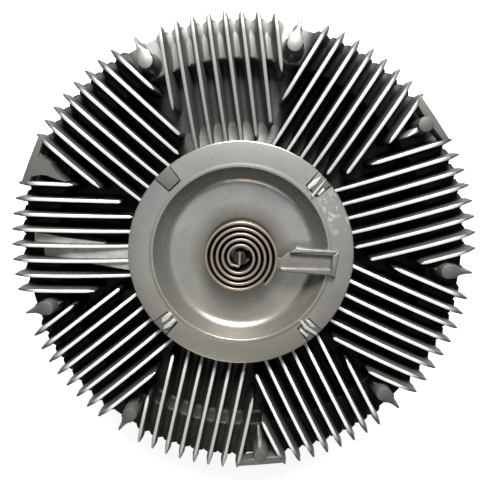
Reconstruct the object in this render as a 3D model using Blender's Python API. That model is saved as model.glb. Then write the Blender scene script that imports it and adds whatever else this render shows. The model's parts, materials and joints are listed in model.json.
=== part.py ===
"""Viscous fan clutch with a finned front cover and a bimetal spiral.

The axis is +Z. The finned front faces up and the drive flange's rear face lies at z = 0.
+X runs along the bracket that holds the outer end of the spiral strip.
"""

import math

import bmesh
import bpy
from mathutils import Matrix, Vector

MM = 0.001

# Clearances
SEAT_GAP = 0.3 * MM
RUNNING_GAP = 0.7 * MM
ROTOR_SIDE_GAP = 1.5 * MM
ROTOR_REAR_GAP = 2.0 * MM
NOTCH_GAP = 0.45 * MM

# How finely round things are divided
CASTING_STEPS = 32
TURNED_STEPS = 20
SMALL_STEPS = 10
SCREW_STEPS = 8
POCKET_SIDES = 6
SEAL_SIDES = 5
FLAT_ANGLE = math.radians(0.05)

# Drive shaft
DRIVE_FLANGE_RADIUS = 50 * MM
DRIVE_FLANGE_THICK = 10 * MM
DRIVE_PILOT_RADIUS = 15 * MM
DRIVE_PILOT_DEPTH = 4 * MM
DRIVE_HOLE_RADIUS = 4.5 * MM
DRIVE_HOLE_CIRCLE = 38 * MM
DRIVE_HOLES = 4
NECK_RADIUS = 24 * MM
NECK_LENGTH = 11.4 * MM
SHAFT_RADIUS = 17.2 * MM
SHAFT_END = 0.5 * MM

# Bearing
BEARING_OUTER_RADIUS = 40 * MM
BEARING_WIDTH = 21 * MM
RACE_OUTER_LIP = 34 * MM
RACE_INNER_LIP = 23.5 * MM
BALL_RADIUS = 6.75 * MM
BALL_CIRCLE = 28.75 * MM
BALLS = 8
RACE_STEPS = 3 * BALLS
CAGE_THICK = 2.6 * MM
CAGE_WIDTH = 16.4 * MM
SHIELD_THICK = 0.8 * MM
SHIELD_INSET = 0.2 * MM

# Lock rings
RING_THICK = 1.4 * MM
RING_DEPTH = 1.6 * MM
RING_RISE = 2.6 * MM
RING_MOUTH = 5 * MM

# Rotor
ROTOR_RIM_GAP = 5 * MM
ROTOR_THICK = 8.5 * MM
ROTOR_HUB_RADIUS = 26 * MM
ROTOR_HOLE_RADIUS = 5 * MM
ROTOR_HOLE_CIRCLE = 40 * MM
ROTOR_HOLES = 6
LANDS = 3
LAND_FIRST_SHARE = 0.32
LAND_PITCH_SHARE = 0.24
LAND_WIDTH = 3.4 * MM
LAND_END_GAP = 0.8 * MM
GROOVE_DEPTH = 4 * MM

# Rear housing
HOUSING_HUB_RADIUS = 50 * MM
HOUSING_HUB_LIP = 5.7 * MM
HOUSING_HUB_MOUTH = 36 * MM
CAVITY_INSET = 24 * MM
CAVITY_WALL = 6 * MM
CAVITY_DEPTH_OVER_BEARING = 5 * MM
SHELL_INSET = 19.4 * MM
SHELL_CHAMFER = 5 * MM
FLANGE_THICK = 9.7 * MM
REAR_RIBS = 12
REAR_RIB_THICK = 3 * MM
REAR_RIB_HUB_HEIGHT = 13 * MM
REAR_RIB_RIM_HEIGHT = 5 * MM
FAN_PADS = 6
FAN_PAD_INSET = 43 * MM
FAN_PAD_RADIUS = 10 * MM
FAN_PAD_HEIGHT = 15 * MM
STUD_RADIUS = 4 * MM
STUD_REACH = 19 * MM
STUD_DEPTH = 12 * MM

# Joint of the two castings
RIM_RADIUS = 125 * MM
SPIGOT_INSET = 21.3 * MM
SPIGOT_DEPTH = 6 * MM
SEAL_INSET = 18 * MM
SEAL_SECTION = 0.95 * MM
SCREW_INSET = 11.8 * MM
SCREW_RADIUS = 3 * MM
SCREW_DEPTH = 7.7 * MM
SCREW_HEAD_RADIUS = 5.4 * MM
SCREW_HEAD_HEIGHT = 5 * MM

# Front cover
TIP_OVERHANG = 1.6 * MM
COVER_WALL = 4 * MM
FIN_DEPTH = 25 * MM
RIM_DROP = 14 * MM
STEP_INSET = 19.2 * MM
STEP_SLOPE = 1.2 * MM
HUB_RADIUS = 61 * MM

# Fins: nine packs of parallel fins, one of them radial
PACKS = 9
PACK_TURN = math.radians(19.8)
GAP_TURN = math.radians(18.1)
FINS = 8
RADIAL_FIN = 4
FIN_PITCH = 8.5 * MM
FIN_TOP_THICK = 2.4 * MM
FIN_ROOT_THICK = 4.6 * MM
FIN_DISH = 3.4
FIN_KNEE_LOW_INSET = 42.6 * MM
FIN_KNEE_HIGH_INSET = 24.6 * MM
FIN_NOSE = 5 * MM
FIN_POINT = 0.35
FIN_FOOT_INSET = 1.2 * MM
FIN_FOOT_RISE = 1 * MM
FIN_START_FIRST_INSET = 28.1 * MM
FIN_START_SECOND_GAP = 13.5 * MM
FIN_START_THIRD_GAP = 7 * MM
FIN_START_LAST_INSET = 41.1 * MM
FIN_START_NOSE = 5 * MM
GATE_PACK = 4
GATE_END_INSET = 17 * MM
GATE_HUB_DROP = 12.5 * MM

# Posts and webs in the gaps between the packs
POST_TOP_RADIUS = 4.4 * MM
POST_ROOT_RADIUS = 5.6 * MM
POST_DROP = 0.3 * MM
NUB_THICK = 2.6 * MM
NUB_INSET = 1 * MM
WEB_EVERY = 3
WEB_POST_INSET = 6.5 * MM
WEB_OVERHANG = 0.4 * MM
WEB_THICK = 4 * MM
WEB_HEIGHT = 6.5 * MM
WEB_DROP = 0.4 * MM

# Cover plate and its lugs
PLATE_RADIUS = 61.3 * MM
PLATE_PROUD = 0.5 * MM
PLATE_THICK = 2 * MM
DISH_TOP_RADIUS = 48 * MM
DISH_FLOOR_RADIUS = 40 * MM
DISH_DEPTH = 9 * MM
PLATE_BORE_GAP = 0.4 * MM
BUSH_RADIUS = 8 * MM
BUSH_ABOVE = 2.5 * MM
BUSH_BELOW = 3 * MM
LUGS = 4
LUG_TURN = math.radians(45)
LUG_INNER_RADIUS = 51.3 * MM
LUG_OUTER_WIDTH = 9.8 * MM
LUG_INNER_WIDTH = 7.8 * MM
LUG_PROUD = 1.1 * MM
LUG_HEAD_OVERHANG = 2.4 * MM
LUG_HEAD_THICK = 1.5 * MM
CLEAN_LUG = 1

# Fluid store
STORE_RADIUS = 36 * MM
PARTITION_RADIUS = 46 * MM
PARTITION_THICK = 1.5 * MM
PARTITION_SEAT_DEPTH = 4 * MM
FEED_HOLE_RADIUS = 3.2 * MM
FEED_HOLE_CIRCLE = 29 * MM
GASKET_THICK = 1.4 * MM
GASKET_WIDTH = 3.6 * MM
WIPER_LENGTH = 14 * MM
WIPER_HEIGHT = 7 * MM
WIPER_TURN = math.radians(70)

# Valve
VALVE_SHAFT_RADIUS = 3.5 * MM
VALVE_SEAL_SECTION = 0.65 * MM
CLIP_RADIUS = 6 * MM
CLIP_THICK = 0.7 * MM
CLIP_GROOVE_DEPTH = 0.9 * MM
ARM_THICK = 1.2 * MM
ARM_PAD_RADIUS = 5 * MM

# Bimetal strip
COIL_THICK = 1.4 * MM
COIL_HEIGHT = 12 * MM
COIL_PITCH = 2.95 * MM
COIL_INNER_RADIUS = 5.3 * MM
COIL_TURNS = 4.875
COIL_START_ANGLE = math.radians(-90)
COIL_STEPS_PER_TURN = 18
COIL_LIFT = 1 * MM
COIL_PROUD = 1 * MM

# Bracket of the strip
BRACKET_END = 53 * MM
BRACKET_TOP_SIDE = 6.2 * MM
BRACKET_LOW_SIDE = -9.2 * MM
BRACKET_FOOT_SIDE = -10.8 * MM
BRACKET_CUT_SIDE = -1 * MM
BRACKET_CUT_END = 29 * MM
BRACKET_CUT_LENGTH = 6 * MM
BRACKET_FOOT_WIDTH = 4.4 * MM
BRACKET_SHEET = 1.6 * MM
BRACKET_RIB_HEIGHT = 2.2 * MM
BRACKET_TOP_RIB_WIDTH = 2.3 * MM
BRACKET_LOW_RIB_WIDTH = 4.6 * MM
BRACKET_TAB_DEPTH = 3.4 * MM

# Heights, worked out from the drive flange's rear face upwards
TIP_RADIUS = RIM_RADIUS + TIP_OVERHANG
WEB_RADIUS = RIM_RADIUS + WEB_OVERHANG
WEB_POST_CIRCLE = RIM_RADIUS - WEB_POST_INSET
SCREW_CIRCLE = RIM_RADIUS - SCREW_INSET
POST_CIRCLE = SCREW_CIRCLE
SEAL_CIRCLE = RIM_RADIUS - SEAL_INSET
STEP_RADIUS = RIM_RADIUS - STEP_INSET
SHELL_RADIUS = RIM_RADIUS - SHELL_INSET
SPIGOT_RADIUS = RIM_RADIUS - SPIGOT_INSET
CAVITY_RADIUS = RIM_RADIUS - CAVITY_INSET
ROTOR_RADIUS = CAVITY_RADIUS - ROTOR_RIM_GAP
FAN_PAD_CIRCLE = RIM_RADIUS - FAN_PAD_INSET
LAND_FIRST_RADIUS = PARTITION_RADIUS + LAND_FIRST_SHARE * (ROTOR_RADIUS - PARTITION_RADIUS)
LAND_PITCH = LAND_PITCH_SHARE * (ROTOR_RADIUS - PARTITION_RADIUS)
FIN_KNEE_LOW = TIP_RADIUS - FIN_KNEE_LOW_INSET
FIN_KNEE_HIGH = TIP_RADIUS - FIN_KNEE_HIGH_INSET
FIN_START_FIRST = TIP_RADIUS - FIN_START_FIRST_INSET
FIN_START_SECOND = HUB_RADIUS + FIN_START_SECOND_GAP
FIN_START_THIRD = HUB_RADIUS + FIN_START_THIRD_GAP
FIN_START_LAST = TIP_RADIUS - FIN_START_LAST_INSET
GATE_END = RIM_RADIUS - GATE_END_INSET
NECK_TOP = DRIVE_FLANGE_THICK + NECK_LENGTH
BEARING_REAR = NECK_TOP + SEAT_GAP
BEARING_FRONT = BEARING_REAR + BEARING_WIDTH
CAVITY_FLOOR = BEARING_FRONT + CAVITY_DEPTH_OVER_BEARING
ROTOR_REAR = CAVITY_FLOOR + ROTOR_REAR_GAP
ROTOR_FRONT = ROTOR_REAR + ROTOR_THICK
COVER_REAR = ROTOR_FRONT + ROTOR_SIDE_GAP
SPLIT = COVER_REAR + SPIGOT_DEPTH
COVER_FLOOR = COVER_REAR + GROOVE_DEPTH + COVER_WALL
FIN_TOP = COVER_FLOOR + FIN_DEPTH
FIN_FOOT = SPLIT + FIN_FOOT_RISE
RIM_TOP = FIN_TOP - RIM_DROP
GATE_HUB_TOP = FIN_TOP - GATE_HUB_DROP
PLATE_TOP = FIN_TOP + PLATE_PROUD
PLATE_REAR = PLATE_TOP - PLATE_THICK
HUB_TOP = PLATE_REAR - SEAT_GAP
DISH_TOP = PLATE_TOP - DISH_DEPTH
DISH_REAR = DISH_TOP - PLATE_THICK
GASKET_REAR = DISH_REAR - SEAT_GAP - GASKET_THICK
LEDGE = GASKET_REAR - SEAT_GAP
PARTITION_SEAT = COVER_REAR + PARTITION_SEAT_DEPTH
PARTITION_FRONT = PARTITION_SEAT - SEAT_GAP
PARTITION_REAR = PARTITION_FRONT - PARTITION_THICK
ARM_REAR = PARTITION_FRONT + SEAT_GAP
ARM_FRONT = ARM_REAR + ARM_THICK
BUSH_TOP = DISH_TOP + BUSH_ABOVE
BUSH_REAR = DISH_REAR - BUSH_BELOW
CLIP_REAR = BUSH_TOP + SEAT_GAP
CLIP_FRONT = CLIP_REAR + CLIP_THICK
COIL_REAR = CLIP_FRONT + COIL_LIFT
COIL_FRONT = COIL_REAR + COIL_HEIGHT
VALVE_SHAFT_FRONT = COIL_FRONT - COIL_PROUD
HOUSING_FLANGE_FRONT = SPLIT - SEAT_GAP
HOUSING_FLANGE_REAR = HOUSING_FLANGE_FRONT - FLANGE_THICK
HOUSING_REAR = CAVITY_FLOOR - CAVITY_WALL
HOUSING_HUB_REAR = BEARING_REAR - SEAT_GAP - HOUSING_HUB_LIP
FAN_FACE = HOUSING_REAR - FAN_PAD_HEIGHT
BEARING_MIDDLE = (BEARING_REAR + BEARING_FRONT) / 2

# Radii that follow from fits
BEARING_BORE = SHAFT_RADIUS + SEAT_GAP
BEARING_SEAT = BEARING_OUTER_RADIUS + SEAT_GAP
REGISTER_RADIUS = SPIGOT_RADIUS + SEAT_GAP
STORE_MOUTH_RADIUS = DISH_TOP_RADIUS + PLATE_THICK + SEAT_GAP
VALVE_BORE = VALVE_SHAFT_RADIUS + PLATE_BORE_GAP
COIL_OUTER_RADIUS = COIL_INNER_RADIUS + COIL_PITCH * COIL_TURNS
BRACKET_START = COIL_OUTER_RADIUS + COIL_THICK / 2 + SEAT_GAP


def clear_scene():
    """Remove whatever the open file holds."""
    for item in list(bpy.data.objects):
        bpy.data.objects.remove(item)


def finish(name, colour, roughness, metallic):
    """Return a Principled material."""
    made = bpy.data.materials.new(name)
    made.use_nodes = True
    shader = made.node_tree.nodes["Principled BSDF"]
    shader.inputs["Base Color"].default_value = (*colour, 1)
    shader.inputs["Roughness"].default_value = roughness
    shader.inputs["Metallic"].default_value = metallic
    return made


def place(name, shape, material=None):
    """Turn a bmesh into a linked object with its faces pointing out."""
    bmesh.ops.remove_doubles(shape, verts=shape.verts, dist=0.00001)
    bmesh.ops.recalc_face_normals(shape, faces=shape.faces)
    mesh = bpy.data.meshes.new(name)
    shape.to_mesh(mesh)
    shape.free()
    thing = bpy.data.objects.new(name, mesh)
    bpy.context.collection.objects.link(thing)
    if material:
        mesh.materials.append(material)
    return thing


def polar(radius, angle, height=0.0):
    """Return the point at a radius and an angle about the axis."""
    return Vector((radius * math.cos(angle), radius * math.sin(angle), height))


def turned(name, profile, steps, material=None):
    """Spin a profile of (radius, height) points about the axis.

    A profile that starts and ends on the axis makes a solid, any other one makes a ring.
    """
    shape = bmesh.new()
    points = [shape.verts.new((radius, 0, height)) for radius, height in profile]
    edges = [shape.edges.new(pair) for pair in zip(points, points[1:])]
    if profile[0][0] > 0:
        edges.append(shape.edges.new((points[-1], points[0])))
    bmesh.ops.spin(
        shape,
        geom=points + edges,
        axis=(0, 0, 1),
        cent=(0, 0, 0),
        steps=steps,
        angle=2 * math.pi,
        use_merge=True,
    )
    return place(name, shape, material)


def ring(name, inner, outer, rear, front, steps, material=None):
    """Return a flat ring."""
    profile = [(inner, rear), (outer, rear), (outer, front), (inner, front)]
    return turned(name, profile, steps, material)


def round_bar(name, radius, rear, front, centre=(0, 0), steps=SMALL_STEPS, tip_radius=None):
    """Return a round bar along Z, tapered where its front has another radius."""
    shape = bmesh.new()
    bmesh.ops.create_cone(
        shape,
        cap_ends=True,
        segments=steps,
        radius1=radius,
        radius2=radius if tip_radius is None else tip_radius,
        depth=front - rear,
        matrix=Matrix.Translation((centre[0], centre[1], (rear + front) / 2)),
    )
    return place(name, shape)


def prism(name, outline, rear, front, material=None):
    """Extrude an outline of (x, y) points along Z."""
    return lofted(name, outline, rear, outline, front, material)


def lofted(name, low_outline, low, high_outline, high, material=None):
    """Join two outlines with as many points each, at two heights."""
    shape = bmesh.new()
    loft_into(shape, low_outline, low, high_outline, high)
    return place(name, shape, material)


def loft_into(shape, low_outline, low, high_outline, high):
    """Add one closed loft to a bmesh."""
    below = [shape.verts.new((x, y, low)) for x, y in low_outline]
    above = [shape.verts.new((x, y, high)) for x, y in high_outline]
    shape.faces.new(list(reversed(below)))
    shape.faces.new(above)
    count = len(below)
    for index in range(count):
        after = (index + 1) % count
        shape.faces.new((below[index], below[after], above[after]))
        shape.faces.new((below[index], above[after], above[index]))


def chain_into(shape, sections):
    """Add one closed body through a row of sections of four corners each."""
    rows = [[shape.verts.new(corner) for corner in section] for section in sections]
    for low, high in zip(rows, rows[1:]):
        for index in range(4):
            after = (index + 1) % 4
            shape.faces.new((low[index], low[after], high[after]))
            shape.faces.new((low[index], high[after], high[index]))
    for end in (rows[0], rows[-1]):
        shape.faces.new(end[:3])
        shape.faces.new((end[0], end[2], end[3]))


def combine(body, tool, operation):
    """Unite the tool with the body, or cut it away, and delete the tool."""
    step = body.modifiers.new("combine", "BOOLEAN")
    step.operation = operation
    step.solver = "EXACT"
    step.object = tool
    view = bpy.context.evaluated_depsgraph_get()
    mesh = bpy.data.meshes.new_from_object(body.evaluated_get(view))
    body.modifiers.remove(step)
    mesh.name = body.name
    body.data = mesh
    bpy.data.objects.remove(tool)


def simplify(body):
    """Join the flat faces that the cuts left in one plane."""
    shape = bmesh.new()
    shape.from_mesh(body.data)
    bmesh.ops.dissolve_limit(shape, angle_limit=FLAT_ANGLE, verts=shape.verts, edges=shape.edges)
    bmesh.ops.triangulate(shape, faces=shape.faces)
    shape.to_mesh(body.data)
    shape.free()


def repeated(name, pattern, count, turn=0.0):
    """Copy one small cutter round the axis into one object, and delete the pattern."""
    shape = bmesh.new()
    for index in range(count):
        copied = pattern.data.copy()
        copied.transform(Matrix.Rotation(turn + index * 2 * math.pi / count, 4, "Z"))
        shape.from_mesh(copied)
        bpy.data.meshes.remove(copied)
    bpy.data.objects.remove(pattern)
    return place(name, shape)


def copies(name, pattern, count, turn, material):
    """Place copies of one small piece round the axis, and delete the pattern."""
    placed = []
    for index in range(count):
        mesh = pattern.data.copy()
        mesh.transform(Matrix.Rotation(turn + index * 2 * math.pi / count, 4, "Z"))
        mesh.materials.append(material)
        thing = bpy.data.objects.new(f"{name}_{index + 1}", mesh)
        bpy.context.collection.objects.link(thing)
        placed.append(thing)
    bpy.data.objects.remove(pattern)
    return placed


def shade(thing):
    """Shade a round piece smooth, with its edges kept."""
    thing.data.shade_smooth()
    thing.data.set_sharp_from_angle(angle=math.radians(30))


def reach(radius, offset):
    """Return how far out a line at a sideways offset meets a circle."""
    return math.sqrt(radius ** 2 - offset ** 2)


def turn_outline(outline, angle):
    """Turn (x, y) points about the axis."""
    cosine = math.cos(angle)
    sine = math.sin(angle)
    return [(x * cosine - y * sine, x * sine + y * cosine) for x, y in outline]


# Front cover


def fin_top(radius):
    """Return the height of the fins' dished top at a radius."""
    return FIN_TOP - FIN_DISH * (TIP_RADIUS - radius) ** 2


def fin_offset(index):
    """Return how far a fin stands beside its pack's radial fin."""
    return (index - RADIAL_FIN) * FIN_PITCH


def fin_start(index):
    """Return the radius where a fin begins, and whether its inner end is pointed."""
    starts = {
        0: (FIN_START_FIRST, True),
        1: (FIN_START_SECOND, False),
        2: (FIN_START_THIRD, False),
        FINS - 1: (FIN_START_LAST, True),
    }
    return starts.get(index, (HUB_RADIUS - FIN_ROOT_THICK / 2, False))


def fin_section(along, foot_along, offset, share):
    """Return the four corners of a fin's section: foot, top, top, foot."""
    top = fin_top(math.hypot(along, offset))
    half = FIN_TOP_THICK / 2 * share
    foot_half = FIN_ROOT_THICK / 2 * (1 + share) / 2
    return [
        (foot_along, offset - foot_half, FIN_FOOT),
        (along, offset - half, top),
        (along, offset + half, top),
        (foot_along, offset + foot_half, FIN_FOOT),
    ]


def fin_sections(index):
    """Return a fin's sections along +X, from its inner end to its tip."""
    offset = fin_offset(index)
    radius, pointed = fin_start(index)
    start = reach(radius, offset)
    end = reach(TIP_RADIUS, offset)
    foot_end = end - FIN_FOOT_INSET
    sections = [fin_section(start, start, offset, FIN_POINT if pointed else 1)]
    if pointed:
        sections.append(fin_section(start + FIN_START_NOSE, start + FIN_START_NOSE, offset, 1))
    last = start + FIN_START_NOSE
    for crest in (FIN_KNEE_LOW, FIN_KNEE_HIGH):
        along = reach(crest, offset)
        if along > last + FIN_NOSE:
            sections.append(fin_section(along, along, offset, 1))
    sections.append(fin_section(end - FIN_NOSE, foot_end - FIN_NOSE, offset, 1))
    sections.append(fin_section(end, foot_end, offset, FIN_POINT))
    return sections


def fins():
    """Return all fins as separate lofts in one object."""
    shape = bmesh.new()
    for pack in range(PACKS):
        turn = Matrix.Rotation(pack_angle(pack), 4, "Z")
        for index in range(FINS):
            chain = []
            for section in fin_sections(index):
                chain.append([turn @ Vector(corner) for corner in section])
            chain_into(shape, chain)
    return place("fins", shape)


def gate_fill():
    """Return the metal left between two fins of one pack, where the casting was fed."""
    low = fin_offset(RADIAL_FIN)
    high = fin_offset(RADIAL_FIN + 1)
    turn = Matrix.Rotation(pack_angle(GATE_PACK), 4, "Z")
    chain = []
    for along, top in ((HUB_RADIUS - MM, GATE_HUB_TOP), (GATE_END, RIM_TOP)):
        section = [(along, low, FIN_FOOT), (along, low, top), (along, high, top), (along, high, FIN_FOOT)]
        chain.append([turn @ Vector(corner) for corner in section])
    shape = bmesh.new()
    chain_into(shape, chain)
    return place("fill", shape)


def pack_angle(pack):
    """Return the direction of a pack's radial fin."""
    return PACK_TURN + pack * 2 * math.pi / PACKS


def gap_angle(index):
    """Return the angle of the gap that follows a pack."""
    return pack_angle(index) + GAP_TURN


def has_web(index):
    """Every third gap is closed by a web at the rim."""
    return index % WEB_EVERY == 0


def post(index):
    """Return the round post that stands in a gap between two packs."""
    circle = WEB_POST_CIRCLE if has_web(index) else POST_CIRCLE
    centre = polar(circle, gap_angle(index))
    rear = SPLIT + SCREW_DEPTH + SEAT_GAP + MM
    return round_bar(
        "post", POST_ROOT_RADIUS, rear, FIN_TOP - POST_DROP, centre, tip_radius=POST_TOP_RADIUS
    )


def nub(index):
    """Return the short pointed fin that runs from a post to the rim."""
    half = NUB_THICK / 2
    tip = TIP_RADIUS - NUB_INSET
    top = [(POST_CIRCLE, -half), (tip - FIN_NOSE, -half), (tip, 0)]
    top += [(tip - FIN_NOSE, half), (POST_CIRCLE, half)]
    foot_end = tip - FIN_FOOT_INSET
    root = [(POST_CIRCLE, -2 * half), (foot_end - FIN_NOSE, -2 * half), (foot_end, 0)]
    root += [(foot_end - FIN_NOSE, 2 * half), (POST_CIRCLE, 2 * half)]
    turn = gap_angle(index)
    rear = SPLIT + SCREW_DEPTH + MM
    front = FIN_TOP - 2 * POST_DROP
    return lofted("nub", turn_outline(root, turn), rear, turn_outline(top, turn), front)


def web(index):
    """Return the bar that joins the outer fins of two packs at their tips."""
    after = 2 * math.pi / PACKS + math.asin(fin_offset(0) / WEB_RADIUS)
    half_gap = (after - math.asin(fin_offset(FINS - 1) / WEB_RADIUS)) / 2
    outer_x = WEB_RADIUS * math.cos(half_gap)
    half_width = WEB_RADIUS * math.sin(half_gap)
    inner_x = outer_x - WEB_THICK
    crown = (WEB_RADIUS + outer_x) / 2
    outline = [(inner_x, -half_width), (outer_x, -half_width), (crown, 0)]
    outline += [(outer_x, half_width), (inner_x, half_width)]
    front = FIN_TOP - WEB_DROP
    return prism("web", turn_outline(outline, gap_angle(index)), front - WEB_HEIGHT, front)


def lug_outline(index, gap=0.0, overhang=0.0):
    """Return a lug's plan outline, grown by a gap or moved inward by an overhang."""
    inner = LUG_INNER_RADIUS - gap - overhang
    outer = HUB_RADIUS + gap * 4 - overhang
    inner_half = LUG_INNER_WIDTH / 2 + gap
    outer_half = LUG_OUTER_WIDTH / 2 + gap
    outline = [(inner, -inner_half), (outer, -outer_half), (outer, outer_half), (inner, inner_half)]
    return turn_outline(outline, LUG_TURN + index * 2 * math.pi / LUGS)


def lug(index):
    """Return one staking lug. All but one have their heads beaten inward over the plate."""
    front = PLATE_TOP + LUG_PROUD
    body = prism("lug", lug_outline(index), HUB_TOP - MM, front)
    if index != CLEAN_LUG:
        low = PLATE_TOP + SEAT_GAP
        head = lofted(
            "head",
            lug_outline(index, overhang=LUG_HEAD_OVERHANG),
            low,
            lug_outline(index, overhang=LUG_HEAD_OVERHANG / 2),
            low + LUG_HEAD_THICK,
        )
        combine(body, head, "UNION")
    return body


def land_radius(index):
    """Return the middle radius of a ring land of the rotor."""
    return LAND_FIRST_RADIUS + index * LAND_PITCH


def front_cover(material):
    """Return the finned front casting."""
    profile = [
        (RIM_RADIUS, SPLIT),
        (RIM_RADIUS, RIM_TOP),
        (STEP_RADIUS, RIM_TOP),
        (STEP_RADIUS - STEP_SLOPE, COVER_FLOOR),
        (HUB_RADIUS, COVER_FLOOR),
        (HUB_RADIUS, HUB_TOP),
        (STORE_MOUTH_RADIUS, HUB_TOP),
        (STORE_MOUTH_RADIUS, LEDGE),
        (STORE_RADIUS, LEDGE),
        (STORE_RADIUS, PARTITION_SEAT),
        (PARTITION_RADIUS + SEAT_GAP, PARTITION_SEAT),
        (PARTITION_RADIUS + SEAT_GAP, COVER_REAR),
    ]
    groove_half = LAND_WIDTH / 2 + RUNNING_GAP
    for index in range(LANDS):
        middle = land_radius(index)
        profile.append((middle - groove_half, COVER_REAR))
        profile.append((middle - groove_half, COVER_REAR + GROOVE_DEPTH))
        profile.append((middle + groove_half, COVER_REAR + GROOVE_DEPTH))
        profile.append((middle + groove_half, COVER_REAR))
    profile.append((SPIGOT_RADIUS, COVER_REAR))
    profile.append((SPIGOT_RADIUS, SPLIT))
    body = turned("front_cover", profile, CASTING_STEPS, material)
    combine(body, fins(), "UNION")
    combine(body, gate_fill(), "UNION")
    seat_radius = PLATE_RADIUS + SEAT_GAP
    combine(body, round_bar("seat", seat_radius, HUB_TOP, FIN_TOP + MM, steps=CASTING_STEPS), "DIFFERENCE")
    for index in range(PACKS):
        combine(body, post(index), "UNION")
        combine(body, web(index) if has_web(index) else nub(index), "UNION")
    for index in range(LUGS):
        combine(body, lug(index), "UNION")
    hole_end = SPLIT + SCREW_DEPTH + SEAT_GAP
    hole = round_bar("hole", SCREW_RADIUS + SEAT_GAP, SPLIT - MM, hole_end, (SCREW_CIRCLE, 0))
    combine(body, repeated("holes", hole, PACKS, gap_angle(0)), "DIFFERENCE")
    simplify(body)
    return body


# Cover plate, gasket and bracket


def cover_plate(material):
    """Return the dished plate with its bush for the valve shaft."""
    run = (DISH_TOP_RADIUS - DISH_FLOOR_RADIUS) / DISH_DEPTH
    shift = PLATE_THICK * (math.hypot(1, run) - run)
    profile = [
        (0, DISH_TOP),
        (DISH_FLOOR_RADIUS, DISH_TOP),
        (DISH_TOP_RADIUS, PLATE_TOP),
        (PLATE_RADIUS, PLATE_TOP),
        (PLATE_RADIUS, PLATE_REAR),
        (DISH_TOP_RADIUS + shift, PLATE_REAR),
        (DISH_FLOOR_RADIUS + shift, DISH_REAR),
        (0, DISH_REAR),
    ]
    body = turned("cover_plate", profile, CASTING_STEPS, material)
    combine(body, round_bar("bush", BUSH_RADIUS, BUSH_REAR, BUSH_TOP), "UNION")
    groove_radius = VALVE_SHAFT_RADIUS + 2 * SEAT_GAP + 2 * VALVE_SEAL_SECTION
    groove_half = VALVE_SEAL_SECTION + SEAT_GAP
    middle = (BUSH_TOP + BUSH_REAR) / 2
    bore = [
        (0, BUSH_REAR - MM),
        (VALVE_BORE, BUSH_REAR - MM),
        (VALVE_BORE, middle - groove_half),
        (groove_radius, middle - groove_half),
        (groove_radius, middle + groove_half),
        (VALVE_BORE, middle + groove_half),
        (VALVE_BORE, BUSH_TOP + MM),
        (0, BUSH_TOP + MM),
    ]
    combine(body, turned("bore", bore, SMALL_STEPS), "DIFFERENCE")
    for index in range(LUGS):
        notch = prism("notch", lug_outline(index, gap=NOTCH_GAP), PLATE_REAR - MM, PLATE_TOP + MM)
        combine(body, notch, "DIFFERENCE")
    simplify(body)
    return body


def plate_gasket(material):
    """Return the flat seal under the dish."""
    inner = STORE_RADIUS + 2 * SEAT_GAP
    front = GASKET_REAR + GASKET_THICK
    return ring("plate_gasket", inner, inner + GASKET_WIDTH, GASKET_REAR, front, TURNED_STEPS, material)


def coil_bracket(material):
    """Return the ribbed arm that bridges the dish and holds the strip's outer end."""
    rear = PLATE_TOP + SEAT_GAP
    sheet = rear + BRACKET_SHEET
    front = sheet + BRACKET_RIB_HEIGHT
    foot = BRACKET_END - BRACKET_FOOT_WIDTH
    outline = [
        (BRACKET_START, BRACKET_CUT_SIDE),
        (BRACKET_START, BRACKET_LOW_SIDE),
        (foot, BRACKET_LOW_SIDE),
        (foot, BRACKET_FOOT_SIDE),
        (BRACKET_END, BRACKET_FOOT_SIDE),
        (BRACKET_END, BRACKET_TOP_SIDE),
        (BRACKET_CUT_END, BRACKET_TOP_SIDE),
    ]
    body = prism("coil_bracket", outline, rear, front, material)
    pocket_low = BRACKET_LOW_SIDE + BRACKET_LOW_RIB_WIDTH
    pocket_high = BRACKET_TOP_SIDE - BRACKET_TOP_RIB_WIDTH
    pocket_start = BRACKET_CUT_END - BRACKET_CUT_LENGTH
    pocket = [(pocket_start, pocket_low), (foot, pocket_low)]
    pocket += [(foot, pocket_high), (BRACKET_CUT_END, pocket_high)]
    combine(body, prism("pocket", pocket, sheet, front + MM), "DIFFERENCE")
    tab_end = BRACKET_START + BRACKET_SHEET
    tab = [(BRACKET_START, BRACKET_LOW_SIDE), (tab_end, BRACKET_LOW_SIDE)]
    tab += [(tab_end, BRACKET_CUT_SIDE), (BRACKET_START, BRACKET_CUT_SIDE)]
    combine(body, prism("tab", tab, rear - BRACKET_TAB_DEPTH, sheet), "UNION")
    return body


def coil_path():
    """Return the middle line of the strip: the tab in the shaft, then the spiral."""
    tab_start = VALVE_SHAFT_RADIUS - SEAT_GAP
    path = [Vector((0, tab_start, 0)), Vector((0, -tab_start, 0))]
    bend_radius = 0.95 * COIL_INNER_RADIUS
    path.append(polar(bend_radius, COIL_START_ANGLE - math.radians(8)))
    steps = round(COIL_TURNS * COIL_STEPS_PER_TURN)
    first = 2
    for index in range(first, steps + 1):
        turns = COIL_TURNS * index / steps
        angle = COIL_START_ANGLE - turns * 2 * math.pi
        path.append(polar(COIL_INNER_RADIUS + COIL_PITCH * turns, angle))
    return path


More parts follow.
